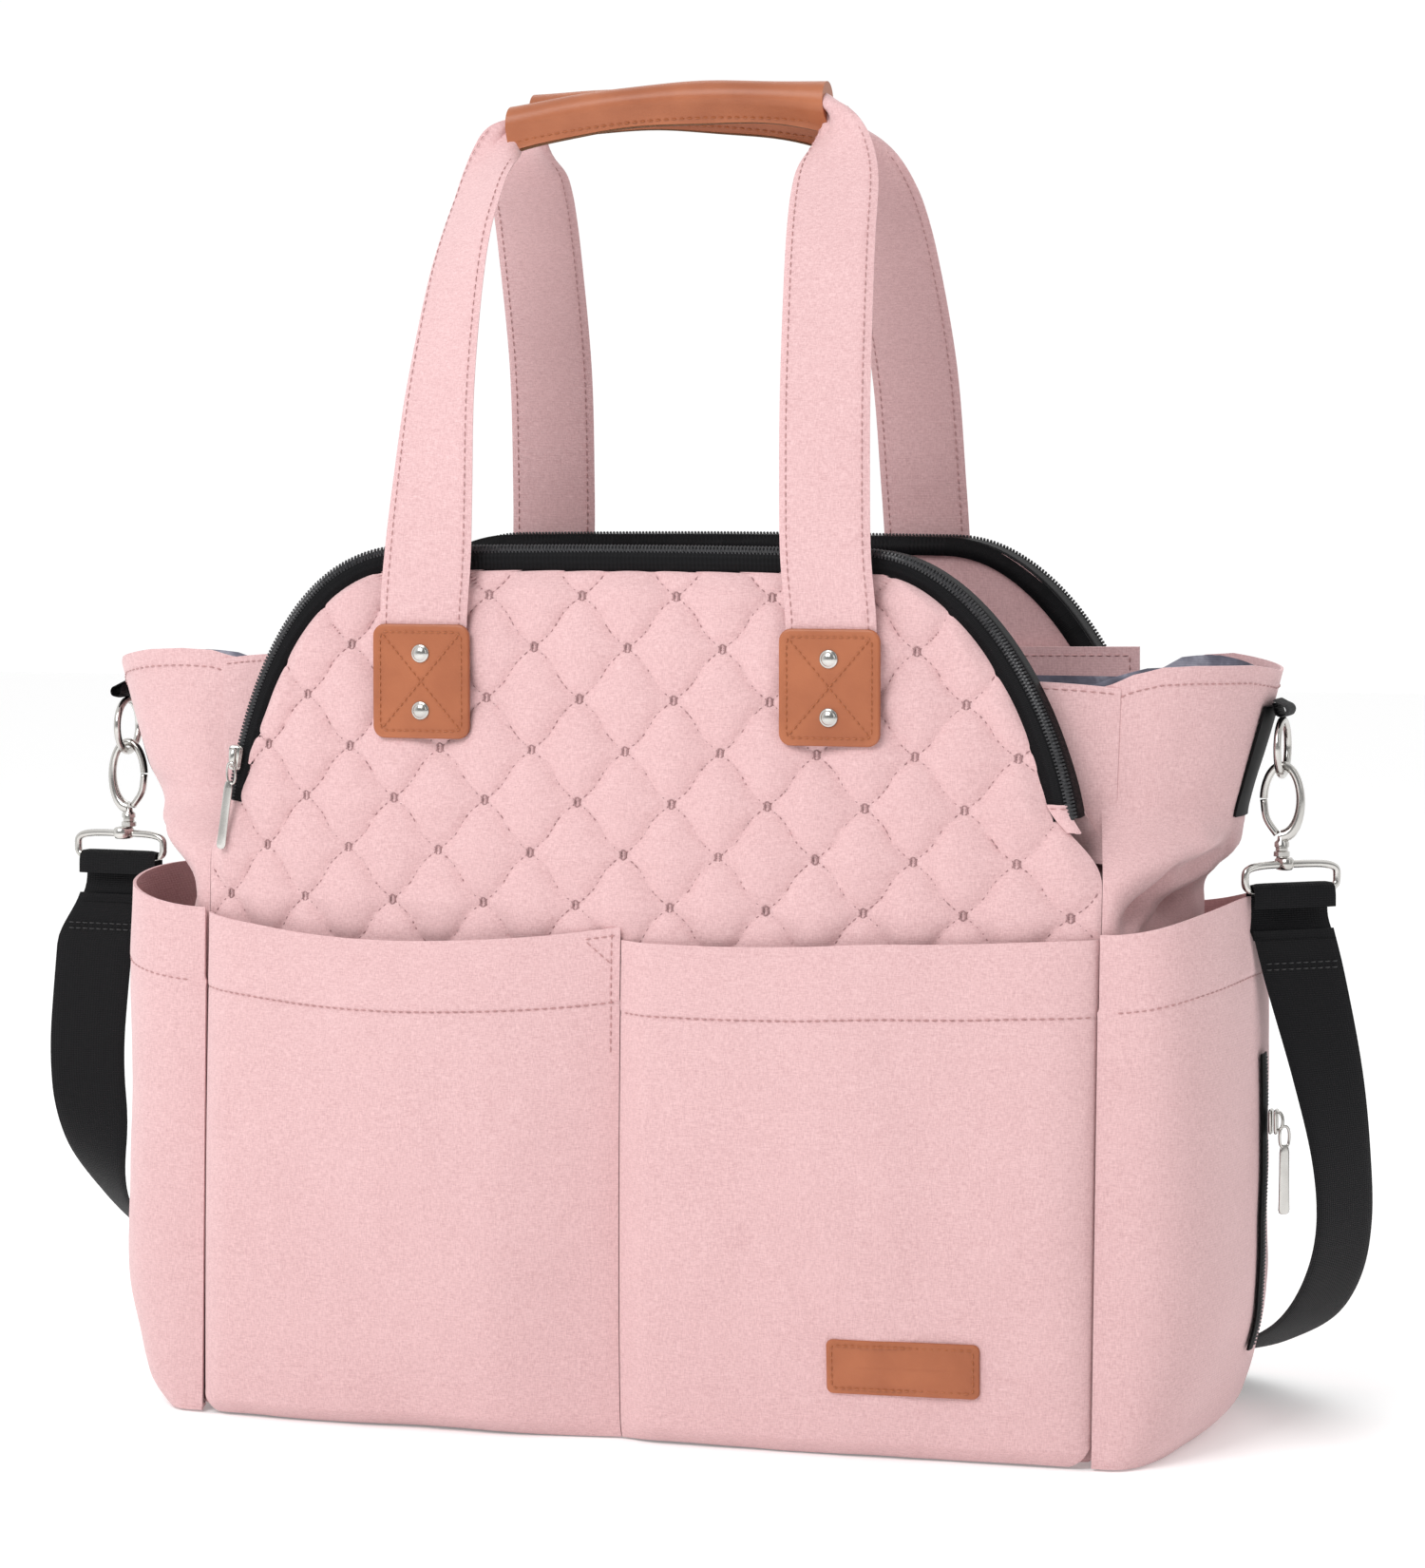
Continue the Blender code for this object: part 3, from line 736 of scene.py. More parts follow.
def quilt_edge(x0, z0, slope):
    """Points of one stitched cell side, from a node down to the next one."""
    made = []
    for t in even(0, 1, 12):
        out = QUILT_WIDE / 2 * (t + QUILT_CURVE * math.sin(TAU * t) / TAU)
        made.append((x0 + slope * out, z0 - QUILT_HIGH * t))
    return made


def inside_arch(x, z, inset):
    width = arch_width(z, front_inset(x, z) + inset - ZIP_BAND)
    return abs(x) < width - 1.0 and 196.0 < z < ARCH_TOP - inset - 0.5


def make_quilting():
    """Stitch runs along the cell sides and a small embroidered oval at each node."""
    runs, ovals = [], []
    for row in range(-1, 9):
        z0 = QUILT_TOP - QUILT_HIGH * row
        offset = QUILT_WIDE / 2 if row % 2 == 0 else 0.0
        for column in range(-6, 7):
            x0 = offset + QUILT_WIDE * column
            for slope in (-1, 1):
                line = []
                for x, z in quilt_edge(x0, z0, slope):
                    if inside_arch(x, z, ZIP_BAND):
                        line.append(Vector((x, front_y(x, z) - quilt_puff(x, z) - 0.1, z)))
                if len(line) > 2:
                    runs.append((line, [Vector((0, -1, 0))] * len(line)))
            if inside_arch(x0, z0, ZIP_BAND + 4):
                y0 = front_y(x0, z0) - 0.75
                angles = [TAU * i / 16 for i in range(16)]
                ring = [(x0 + 1.15 * math.cos(a), y0, z0 + 2.0 * math.sin(a)) for a in angles]
                ovals.append(tube(ring, 0.38, sides=6, closed=True))
    add_stitches("quilt_stitches", runs, "thread_mauve", radius=0.36, pitch=3.1, sink=-0.15)
    add_piece("quilt_ovals", merge(ovals), "thread_mauve")


def make_panels():
    quilted = cloth_sheet(
        "front_panel_quilted", quilted_surface, 300, 140, 1.2, "pink", -1, node="front_panel",
    )

    def lower(u, v):
        return front_panel_surface(u, v * 0.53)

    cloth_sheet("front_panel_lower", lower, 30, 20, 1.2, "pink", -1, slot="")
    cloth_sheet("back_panel_fabric", back_panel_surface, 120, 110, 1.6, "pink", -1, node="back_panel")
    for name, depth, lift, facing in (
        ("front", DIVIDER_FRONT, 0.0, -1), ("back", DIVIDER_BACK - 1.0, BACK_LIFT, 1),
    ):
        cloth_sheet(
            f"{name}_divider_fabric", divider_surface(depth, lift, facing), 90, 100, 1.2, "pink", -1,
            node=f"{name}_divider",
        )
    make_quilting()


# ---------------------------------------------------------------- arch zips

def zipped_part(inset, lift):
    """The arch without the lowest stretch of its legs, where the panels are sewn together."""
    return whole(arch_side(inset, lift))[5:-5]


def add_tape(node, shape):
    """Zip tape made of rings of six points, with its ribs running along it."""
    uvs = [(i % 6 * 2 * MM, i // 6 * 3 * MM) for i in range(len(shape[0]))]
    add_piece(f"{node}_fabric", shape, "tape", node=node, uvs=uvs)


def make_arch_zip(name, face, divider, lift):
    outward = 1.0 if divider > 0 else -1.0
    rings, back_rings = [], []
    inner = zipped_part(ZIP_BAND + 1.2, lift)
    middle = zipped_part(ZIP_BAND / 2, lift)
    edge = zipped_part(1.7, lift)
    for (xi, zi), (xm, zm), (xe, ze) in zip(inner, middle, edge):
        base = face(xi, zi)
        rings.append([
            (xi, base + outward * 0.5, zi), (xm, base + outward * 1.4, zm), (xe, base + outward * 0.2, ze),
            (xe, base - outward * 1.2, ze), (xm, base - outward * 0.2, zm), (xi, base - outward * 1.1, zi),
        ])
    add_tape(f"zip_tape_outer_{name}", loft(rings))
    for (xe, ze), (xm, zm) in zip(zipped_part(0.6, lift), zipped_part(2.0, lift)):
        start, end = face(xe, ze) - outward * 2.4, divider + outward * 0.4
        sag = (start + end) / 2
        back_rings.append([
            (xe, start, ze), (xe * 0.9985, sag, ze - 0.5), (xe, end, ze),
            (xm, end, zm), (xm * 0.9985, sag, zm - 0.5), (xm, start, zm),
        ])
    parts = [loft(back_rings)]
    if outward > 0:
        facing = []
        for (xe, ze), (xi, zi) in zip(zipped_part(0.8, lift), zipped_part(ZIP_BAND - 1, lift)):
            facing.append([
                (xe, divider - 0.4, ze), (xi, divider - 2.7, zi),
                (xi, divider - 3.5, zi), (xe, divider - 1.2, ze),
            ])
        parts.append(loft(facing))
    add_tape(f"zip_tape_inner_{name}", merge(parts))
    make_coil(f"zip_teeth_{name}", zipped_part(1.9, lift), face, outward, f"zip_coil_{name}")


def make_zip_end():
    """The folded fabric tab that closes the front zip at its right end."""
    def tab(u, v):
        z = 253 + 11 * v
        x = arch_width(z, 10.0 - 7.5 * u)
        return x, front_y(x, z) - 1.4 - 1.2 * math.sin(math.pi * u), z

    cloth_sheet("zip_end_tab", tab, 12, 16, 1.6, "pink", -1)
    add_stitches("zip_end_stitches", [rim_run(tab, 0.86, 8)], "thread_pink", radius=0.25)


def make_coil(name, outline, face, outward, node):
    """Two interlocked rows of coil teeth, each a short rounded bar across the closure."""
    line = [Vector((x, face(x, z) + outward * 0.5, z)) for x, z in outline]
    teeth, spacing, travelled, due = [], 1.5, 0.0, 0.0
    row = 0
    for a, b in zip(line, line[1:]):
        length = (b - a).length
        along = (b - a).normalized()
        across = along.cross(Vector((0, outward, 0))).normalized()
        while due <= travelled + length:
            centre = a + along * (due - travelled)
            shift = 0.55 if row % 2 else -0.55
            ends = [centre + across * (shift + k) + Vector((0, outward * lift, 0))
                    for k, lift in ((-1.25, 0.2), (-0.7, 0.95), (0.7, 0.95), (1.25, 0.2))]
            teeth.append(tube(ends, 0.6, sides=5))
            due += spacing / 2
            row += 1
        travelled += length
    add_piece(name, merge(teeth), "coil", node=node, sharp=60)


# ---------------------------------------------------------------- outer pockets

def pocket_surface(low_x, high_x):
    sign = -1 if low_x < 0 else 1

    def surface(u, v):
        z = POCKET_FOOT + (POCKET_TOP - POCKET_FOOT) * v
        corner = 13.0
        trim = corner - math.sqrt(max(corner**2 - max(corner - z, 0.0) ** 2, 0.0))
        width = high_x - low_x - trim
        x = (high_x - width * (1 - u)) if sign < 0 else (low_x + width * u)
        seam_gap = abs(x)
        outer_gap = high_x - low_x - seam_gap
        soft = 56.0 if sign < 0 else 16.0
        puff = smoothstep(-soft, soft, seam_gap) * 2 - 1
        puff *= max(0.0, 1 - (1 - min(1.0, outer_gap / 20.0)) ** 2) ** 0.5
        puff *= 0.72 + 0.28 * math.sin(math.pi * u)
        rise = 0.42 + 0.58 * math.sin(math.pi * min(1.0, v * 0.9 + 0.08)) ** 0.7
        belly = 1.6 + (18.5 if sign < 0 else 14.0) * puff * rise
        belly *= min(1.0, ((z + 1.0) / 8.0)) ** 0.5
        sag = (8.0 if sign < 0 else 3.5) * math.sin(math.pi * u)
        if sign > 0:
            sag += 5.5 * (1 - smoothstep(4.0, 120.0, x)) * smoothstep(-0.5, 0.0, x)
        sag *= smoothstep(0.55, 1.0, v)
        folds = ripple(x, 0, z, (0.018, 0, 0.010), 2.2, 3.0) + ripple(x, 0, z, (0.05, 0, 0.022), 0.7, 9.0)
        near_seam = math.exp(-((abs(u - (1 if sign < 0 else 0)) * 190) / 16) ** 2)
        folds += near_seam * ripple(x, 0, z, (0.02, 0, 0.075), 1.6, 5.0)
        folds *= puff * (1 - 0.5 * smoothstep(0.86, 0.95, v))
        hem = -0.55 * smoothstep(POCKET_HEM - 0.001, POCKET_HEM + 0.001, v)
        hem += 0.5 * math.exp(-((v - POCKET_HEM) * 210) ** 2)
        y = front_y(x, z) - belly + folds + hem
        return x, y, z - sag + 0.6 * ripple(x, 0, 0, (0.02, 0, 0), 1.0)

    return surface


def side_pocket_surface(side):
    def surface(u, v):
        swing = math.pi * (u - 0.5)
        rim = POCKET_RIM + SIDE_POCKET_RISE * math.cos(swing)
        z = SIDE_POCKET_FOOT + (rim - SIDE_POCKET_FOOT) * v
        belly = SIDE_REACH * smoothstep(-90, 70, z) + 203 * (1 - smoothstep(-90, 70, z))
        belly -= 3 * smoothstep(170, 225, z)
        belly -= 9.0 * (1 - min(1.0, z / 14.0)) ** 2
        front = front_y(HALF_WIDTH, z) - 4.5
        back = back_y(HALF_WIDTH, z) + 3.5
        seam = HALF_WIDTH + 0.8
        round_off = max(0.0, math.cos(swing)) ** 0.55
        x = seam + (belly - seam) * round_off
        y = (front + back) / 2 + (back - front) / 2 * math.sin(swing)
        folds = ripple(side * x, y, z, (0.02, 0.02, 0.011), 2.4, 7.0 + side)
        folds += ripple(side * x, y, z, (0.03, 0.03, 0.05), 0.9, 2.0 + side) * (1 - v)
        hem = 0.5 * smoothstep(SIDE_POCKET_HEM - 0.002, SIDE_POCKET_HEM + 0.002, v)
        hem -= 0.5 * math.exp(-((v - SIDE_POCKET_HEM) * 210) ** 2)
        x += (folds - 1.0) * round_off + hem
        return side * x, y, z

    return surface


RIM_HEIGHTS = {
    # distance round the side, 0 at the front seam and 1 at the back one, and height over the rim
    -1: (
        (0, 4), (0.04, 7), (0.1, 7.5), (0.18, 6.5), (0.32, 2.5),
        (0.42, -4), (0.5, -10), (0.6, -8), (0.8, -3), (1, -3),
    ),
    1: (
        (0, -3), (0.04, 2), (0.1, 5), (0.18, 5.5), (0.35, 5), (0.5, 2),
        (0.6, 3), (0.7, 4.5), (0.85, 7), (0.93, 6), (1, -3),
    ),
}


def rim_lift(side, t, z):
    """How the open top of a side rises above its seams and drops again towards the tip."""
    return interpolate(RIM_HEIGHTS[side], t) * smoothstep(262, RIM, z)


WING_FOLDS = (
    # y and z of both ends, then depth and half width
    (-64, 216, -44, 236, 9.0, 4.0), (-48, 236, -6, 243, 10.5, 5.0),
    (-40, 228, -8, 232, -4.0, 3.6), (-64, 250, -30, 262, 3.4, 6.0),
    (-20, 220, 26, 238, 8.0, 5.0), (20, 246, 56, 232, 4.6, 6.0),
    (-52, 212, -8, 224, 6.0, 4.2), (-44, 300, -46, 240, 3.0, 7.0),
    (-30, 252, 8, 246, 2.6, 4.5), (30, 262, 62, 258, 2.6, 6.0),
)


def wing_folds(y, z):
    """How far the soft side sinks where it has collapsed above the side pocket."""
    depth = 0.0
    for y0, z0, y1, z1, deep, wide in WING_FOLDS:
        dy, dz = y1 - y0, z1 - z0
        t = ((y - y0) * dy + (z - z0) * dz) / (dy * dy + dz * dz)
        near = min(max(t, 0.0), 1.0)
        gap = math.hypot(y - y0 - dy * near, z - z0 - dz * near)
        depth += deep * math.exp(-(gap / wide) ** 2) * math.sin(math.pi * (0.15 + 0.7 * near))
    return depth


def gusset_surface(side):
    def surface(u, v):
        z = GUSSET_FOOT + (RIM - GUSSET_FOOT) * v
        x, y, _ = gusset_point(side, u, z)
        round_off = max(0.0, math.cos(math.pi * (u - 0.5)))
        waist = math.exp(-((z - 232) / 26) ** 2)
        creases = ripple(0, y, z, (0, 0.035, 0.055), 3.4, 4.0 + side) * waist
        creases += ripple(0, y, z, (0, 0.02, 0.012), 2.0, 1.0 + side)
        creases -= wing_folds(y, z)
        slump = 8.5 * math.exp(-((z - 243) / 9) ** 2) - 6.0 * math.exp(-((z - 223) / 7) ** 2)
        x += side * ((creases - 0.8) * round_off**0.5 + slump * round_off)
        return x, y, z + rim_lift(side, u, z)

    return surface


def rim_run(surface, v, steps=80):
    return run_on(surface, even((0.01, v), (0.99, v), steps))


def outer_run(surface, path, side):
    """A stitch run on the outer face of a surface that both sides of the bag have."""
    run = run_on(surface, path)
    return run if side > 0 else flipped(run)


def make_pockets():
    runs = []
    for name, (low_x, high_x) in POCKET_EDGES.items():
        surface = pocket_surface(low_x, high_x)
        node = f"front_pocket_{name}"
        cloth_sheet(f"{node}_fabric", surface, 150, 170, 1.4, "pink", -1, node=node)
        runs.append(rim_run(surface, POCKET_HEM))
        if name == "left":
            # The centre seam, and the small triangle that locks it at the top.
            for start, end, steps in (
                ((0.982, 0.99), (0.982, 0.755), 24), ((0.925, 0.984), (0.991, 0.984), 8),
                ((0.928, 0.98), (0.982, 0.93), 8),
            ):
                runs.append(run_on(surface, even(start, end, steps)))
    for name, side in BOTH_SIDES:
        for node, surface, columns, rows, thickness, hem in (
            (f"side_pocket_{name}", side_pocket_surface(side), 110, 130, 1.4, SIDE_POCKET_HEM),
            (f"gusset_{name}", gusset_surface(side), 120, 150, 1.2, GUSSET_HEM),
        ):
            cloth_sheet(f"{node}_fabric", surface, columns, rows, thickness, "pink", -side, node=node)
            runs.append(outer_run(surface, even((0.01, hem), (0.99, hem), 80), side))
    add_stitches("pocket_stitches", runs, "thread_pink", radius=0.3)


# ---------------------------------------------------------------- inside, base and trim

def make_inside():
    rings = []
    for z in [9, 30, 60, 100, 140, 180] + [200 + 4 * i for i in range(28)] + [RIM - 1.5]:
        ring = []
        for side in (1, -1):
            for t in even(0, 1, 30)[::side]:
                x, y, _ = gusset_point(side, t, z, 4.2)
                low, high = DIVIDER_FRONT + 3.4, DIVIDER_BACK - 6.6
                wobble = ripple(x, y, z, (0.03, 0.03, 0.03), 1.4)
                hollow = 3.0 + 1.1 * wing_folds(y, z) + 6.0 * math.exp(-((z - 223) / 9) ** 2)
                sunk = 1.4 + wobble + hollow * max(0.0, math.sin(math.pi * t)) ** 0.5
                ring.append(Vector((x - side * sunk, min(max(y, low), high), z + rim_lift(side, t, z))))
        rings.append(ring)
    inner = [
        [p - Vector((math.copysign(1.0, p.x), math.copysign(1.0, p.y), -1.0)) for p in ring]
        for ring in reversed(rings)
    ]
    add_piece("lining_fabric", loft(rings + inner, cap=True), "lining", node="lining", sharp=70)

    def band(u, v):
        x = -181.5 + 363 * u
        z = 286 + 36 * v - 2.0 * math.sin(math.pi * u) * v
        return x, DIVIDER_BACK - 4.4 + ripple(x, 0, z, (0.02, 0, 0.02), 1.2) - 1.5 * v, z

    cloth_sheet("rim_band_fabric", band, 90, 14, 2.2, "pink", -1, node="rim_band")
    runs = [rim_run(band, 0.9), run_on(band, even((0.99, 0.04), (0.99, 0.9), 12))]
    for name, side in BOTH_SIDES:
        def shoulder(u, v, side=side):
            z = 240 + (RIM - 1.0 - 240) * v
            x_seam, y_seam, _ = gusset_point(1, 0.02, z)
            x = 158 + (x_seam + 0.5 - 158) * u
            y = DIVIDER_FRONT - 1.2 + (y_seam - 0.4 - DIVIDER_FRONT + 1.2) * u**2
            soft = ripple(side * x, y, z, (0.03, 0, 0.02), 1.6, 6.0) * math.sin(math.pi * u)
            tucked = 3.0 * (1 - smoothstep(244, 270, z))
            raised = 7.0 * smoothstep(262, RIM, z) if side < 0 else 0.0
            return side * x, y + soft + tucked, z + raised - 2.5 * u**2 * v

        cloth_sheet(f"wing_front_{name}", shoulder, 24, 50, 1.4, "pink", -side)
        runs.append(outer_run(shoulder, even((0.05, 0.965), (0.95, 0.965), 20), side))
    add_stitches("rim_stitches", runs, "thread_pink", radius=0.28)


def make_base():
    def bottom(u, v):
        x, y = -191.5 + 383 * u, 79.0 - 158 * v
        edge = min(1.0, min(u, 1 - u) * 30, min(v, 1 - v) * 14)
        return x, y, 2.4 * (1 - edge**0.5) + 0.1

    cloth_sheet("base_fabric", bottom, 60, 30, 2.0, "pink", -1, node="base_panel")
    for name, side in BOTH_SIDES:
        outer = side_pocket_surface(side)

        def closing(u, v, side=side, outer=outer):
            inner_point = Vector(gusset_point(side, u, GUSSET_FOOT))
            inner_point.z = 2.8
            return inner_point.lerp(Vector(outer(u, 0.0)), v)

        cloth_sheet(f"side_pocket_bottom_{name}", closing, 60, 8, 1.2, "pink", -side)


def make_sleeve():
    """The band on the back that slips over a wheeled case's handle."""
    def surface(u, v):
        x, z = 100 - 200 * u, 95 + 130 * v
        y = back_y(x, z) + 3.4 + 9.0 * math.sin(math.pi * u) + ripple(x, 0, z, (0.03, 0, 0.02), 1.0, 8.0)
        return x, y, z

    cloth_sheet("luggage_sleeve_fabric", surface, 70, 46, 1.8, "pink", -1, node="luggage_sleeve")
    runs = [rim_run(surface, v, 50) for v in (0.04, 0.96)]
    runs += [run_on(surface, even((u, 0), (u, 1), 20)) for u in (0.03, 0.97)]
    add_stitches("sleeve_stitches", runs, "thread_pink", radius=0.28)


def rounded_outline(wide, high, radius, steps=6):
    """A rounded rectangle about the origin, anticlockwise from the lower right corner."""
    made = []
    for corner_x, corner_z, start in ((1, -1, -90), (1, 1, 0), (-1, 1, 90), (-1, -1, 180)):
        centre_x, centre_z = corner_x * (wide / 2 - radius), corner_z * (high / 2 - radius)
        for i in range(steps + 1):
            angle = math.radians(start + 90 * i / steps)
            made.append((centre_x + radius * math.cos(angle), centre_z + radius * math.sin(angle)))
    return made


def draped_plate(name, centre, size, radius, thickness, surface_y, outward, look, **options):
    """A leather plate that follows surface_y(x, z)."""
    cx, cz = centre
    wide, high = size
    outline = rounded_outline(wide, high, radius)
    rings = []
    profile = [(1.0, 0.0), (1.0, thickness - 0.45), (0.985, thickness - 0.1), (0.955, thickness)]
    profile += [(share, thickness) for share in (0.85, 0.7, 0.5, 0.3, 0.12, 0.01)]
    for share, height in profile:
        ring = []
        for x, z in outline:
            inset = (1 - share) * min(wide, high) / 2
            px, pz = cx + x * (1 - 2 * inset / wide), cz + z * (1 - 2 * inset / high)
            ring.append(Vector((px, surface_y(px, pz) + outward * height, pz)))
        rings.append(ring)
    return add_piece(name, loft(rings), look, sharp=45, **options)


def border_runs(centre, size, inset, radius, surface_y, outward, cross=False):
    cx, cz = centre
    wide, high = size[0] - 2 * inset, size[1] - 2 * inset
    ring = rounded_outline(wide, high, radius, 3)
    ring.append(ring[0])
    paths = [ring]
    if cross:
        x, z = wide / 2 - 1.0, high / 2 - 1.0
        paths += [[(-x, -z), (x, z)], [(-x, z), (x, -z)]]
    runs = []
    for path in paths:
        line = []
        for (x0, z0), (x1, z1) in zip(path, path[1:]):
            steps = max(1, round(math.hypot(x1 - x0, z1 - z0) / 2))
            for i in range(steps):
                t = i / steps
                px, pz = cx + x0 + (x1 - x0) * t, cz + z0 + (z1 - z0) * t
                line.append(Vector((px, surface_y(px, pz), pz)))
        px, pz = cx + path[-1][0], cz + path[-1][1]
        line.append(Vector((px, surface_y(px, pz), pz)))
        runs.append((line, [Vector((0, outward, 0))] * len(line)))
    return runs


LABEL_CENTRE, LABEL_SIZE = (122.5, 38.5), (61.0, 22.0)


def label_y(x, z):
    low_x, high_x = POCKET_EDGES["right"]
    u, v = (x - low_x) / (high_x - low_x), (z - POCKET_FOOT) / (POCKET_TOP - POCKET_FOOT)
    return pocket_surface(low_x, high_x)(u, v)[1] - 0.1


def make_label():
    draped_plate(
        "label_leather", LABEL_CENTRE, LABEL_SIZE, 2.6, 1.5, label_y, -1, "leather",
        node="label_patch",
    )
    runs = border_runs(LABEL_CENTRE, LABEL_SIZE, 2.3, 1.2, lambda x, z: label_y(x, z) - 1.5, -1)
    add_stitches("label_stitches", runs, "thread_rust", radius=0.34, pitch=2.9)


# ---------------------------------------------------------------- handles

HANDLE_PATHS = {
    "front": ((87.5, -76.4, 290), (87.5, -76.6, 318), (87.2, -77.2, 338), (85.2, -77.5, 362),
              (84.0, -75.0, 390), (82.5, -69.0, 432), (80.0, -54.0, 484), (77.5, -38.0, 513),
              (74.0, -26.0, 531), (68.5, -21.5, 541), (61.0, -20.0, 545.5)),
    "back": ((87.5, 77.9, 290), (87.5, 78.1, 318), (87.2, 78.4, 338), (85.6, 78.0, 362),
             (84.4, 75.0, 390), (82.5, 66.0, 440), (79.5, 43.0, 490), (76.5, 24.0, 516),
             (73.0, 14.0, 530), (67.5, 10.0, 539), (60.0, 9.0, 543)),
}
EARLY_ROLL = {("front", -1): -40.0}  # degrees; this strap has turned on its way up
GRIP_TILT = {"front": 3.6, "back": -4.0}  # how much the right end is higher, the left end lower
PATCH_SIZE, PATCH_CENTRE_Z, HANDLE_X = (42.0, 47.0), 309.5, 87.5
PATCH_FACE, PATCH_THICK = 80.4, 2.0
STRAP_THICK = 2.5


def handle_half(name, side_name, side, sign):
    """One end of a handle's strap, from its patch up to the grip, and the stitching along it."""
    tilt = side * GRIP_TILT[name]
    line = [
        Vector((side * x, y, z + tilt * smoothstep(420, 545, z)))
        for x, y, z in smooth_line(HANDLE_PATHS[name], 9)
    ]
    along = tangents(line)
    wides, outs, widths = [], [], []
    last, row = len(line) - 1, 26  # a row of the strip has 13 points on each face
    for i, ahead in enumerate(along):
        facing = Vector((0.0, 1.0, 0.22))
        wide = ahead.cross(facing).normalized()
        t = i / last
        roll = smoothstep(0.7, 1.0, t) * math.radians(52) * side * sign
        early = smoothstep(0.25, 0.7, t) * (1 - smoothstep(0.8, 0.97, t))
        roll += math.radians(EARLY_ROLL.get((name, side), 0.0)) * early
        wide = Matrix.Rotation(roll, 3, ahead) @ wide
        wides.append(wide)
        outs.append(wide.cross(ahead).normalized())
        widths.append(HANDLE_WIDTH * (1 - 0.74 * smoothstep(0.66, 0.96, t)))
    points, faces, uvs = strip(line, wides, outs, widths, STRAP_THICK, 12)
    for k, point in enumerate(points):
        fold = smoothstep(0.72, 0.9, (k // row) / last)
        point += outs[k // row] * fold * 2.6 * math.sin(k % row / (row / 2) * TAU)
    item = add_piece(
        f"handle_{name}_{side_name}_fabric", (points, faces), "pink", None,
        node=f"handle_{name}_{side_name}", uvs=uvs, sharp=60,
    )
    runs = []
    usable = [i for i in range(len(line)) if 0.16 < i / last < 0.86]
    for edge in (-0.84, 0.84):
        for face in (-1, 1):
            out = face * STRAP_THICK / 2
            run = [line[i] + wides[i] * widths[i] / 2 * edge + outs[i] * out for i in usable]
            runs.append((run, [outs[i] * face for i in usable]))
    return item, runs


def grip_section(top, flange):
    """Half-turned leather over the strap: round above, two layers sewn together below."""
    made = [(top * math.cos(angle), top * math.sin(angle)) for angle in even(0, math.pi, 14)]
    skirt = [(-top * 0.9, -top * 0.45), (-2.1, -top * 1.15), (-1.55, -flange)]
    return made + skirt + [(-y, z) for y, z in reversed(skirt)]


def make_grip(name, y, z_mid, sign):
    rings, seams = [], ([], [])
    half, steps = 69.0, 40
    section = grip_section(6.6, 10.5)
    for i in range(steps + 1):
        x = half * (2 * i / steps - 1)
        sag = 6.0 * (x / half) ** 2 - GRIP_TILT[name] * x / half
        swell = 1.0 + 0.03 * math.sin(x * 0.11) + 0.22 * abs(x / half) ** 5
        twist = math.radians(-sign * 16) * (x / half)
        centre = Vector((x, y, z_mid - sag))
        rings.append([centre + Vector((0, *turned(twist, a * swell, b * swell))) for a, b in section])
        for side, seam in zip((-1, 1), seams):
            seam.append(centre + Vector((0, *turned(twist, side * 2.0, -8.6))))
    grip = add_piece(
        f"grip_{name}_leather", loft(rings), "leather", f"handle_{name}",
        node=f"grip_{name}", sharp=50,
    )
    runs = [(seam, [Vector((0, side, -0.1))] * len(seam)) for side, seam in zip((-1, 1), seams)]
    add_stitches(f"grip_{name}_stitches", runs, "thread_rust", f"handle_{name}", radius=0.34)
    # Points 17 and 18 of a section are the lower edges of its two layers.
    low = [(ring[17] + ring[18]) / 2 + Vector((0, 0, -0.15)) for ring in rings]
    edge = tube(low, (1.5, 0.5), sides=8, flat=(0, 1, 0))
    add_piece(f"grip_{name}_edge", edge, "leather_edge", f"handle_{name}")


def make_rivet(name, x, z, base, sign):
    profile = (
        (3.85, 0.0), (3.85, 0.45), (3.55, 0.8), (3.05, 0.85), (2.9, 1.05),
        (2.4, 1.45), (1.6, 1.75), (0.8, 1.88), (0.05, 1.92),
    )
    shape = lathed(profile, (x, base, z), (1, 0, 0), (0, 0, 1), (0, sign, 0), 28)
    add_piece(f"{name}_head", shape, "nickel", node=name, sharp=50)


def make_handles():
    for name, sign, y, z_mid in (("front", -1, -20.0, 549.5), ("back", 1, 9.0, 549.0)):
        straps, strap_runs, patch_runs = [], [], []

        def patch_back(x, z, sign=sign):
            return sign * (PATCH_FACE - PATCH_THICK)

        def patch_face(x, z, sign=sign):
            return sign * PATCH_FACE

        for side_name, side in BOTH_SIDES:
            strap, runs = handle_half(name, side_name, side, sign)
            straps.append(strap)
            strap_runs += runs
            centre = (side * HANDLE_X, PATCH_CENTRE_Z)
            node = f"handle_patch_{name}_{side_name}"
            draped_plate(
                f"{node}_leather", centre, PATCH_SIZE, 5.0, PATCH_THICK,
                patch_back, sign, "leather", node=node,
            )
            patch_runs += border_runs(centre, PATCH_SIZE, 3.2, 2.5, patch_face, sign, cross=True)
            for level, z in (("upper", 321.0), ("lower", 297.5)):
                make_rivet(f"rivet_{name}_{side_name}_{level}", side * HANDLE_X, z, sign * PATCH_FACE, sign)
        add_stitches(f"patch_{name}_stitches", patch_runs, "thread_rust", radius=0.36, pitch=2.9)
        stitches = add_stitches(f"handle_{name}_stitches", strap_runs, "thread_pink", None, radius=0.24)
        make_grip(name, y, z_mid, sign)
        for item in (*straps, stitches):
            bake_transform(item)


# ---------------------------------------------------------------- rings, hooks and shoulder strap

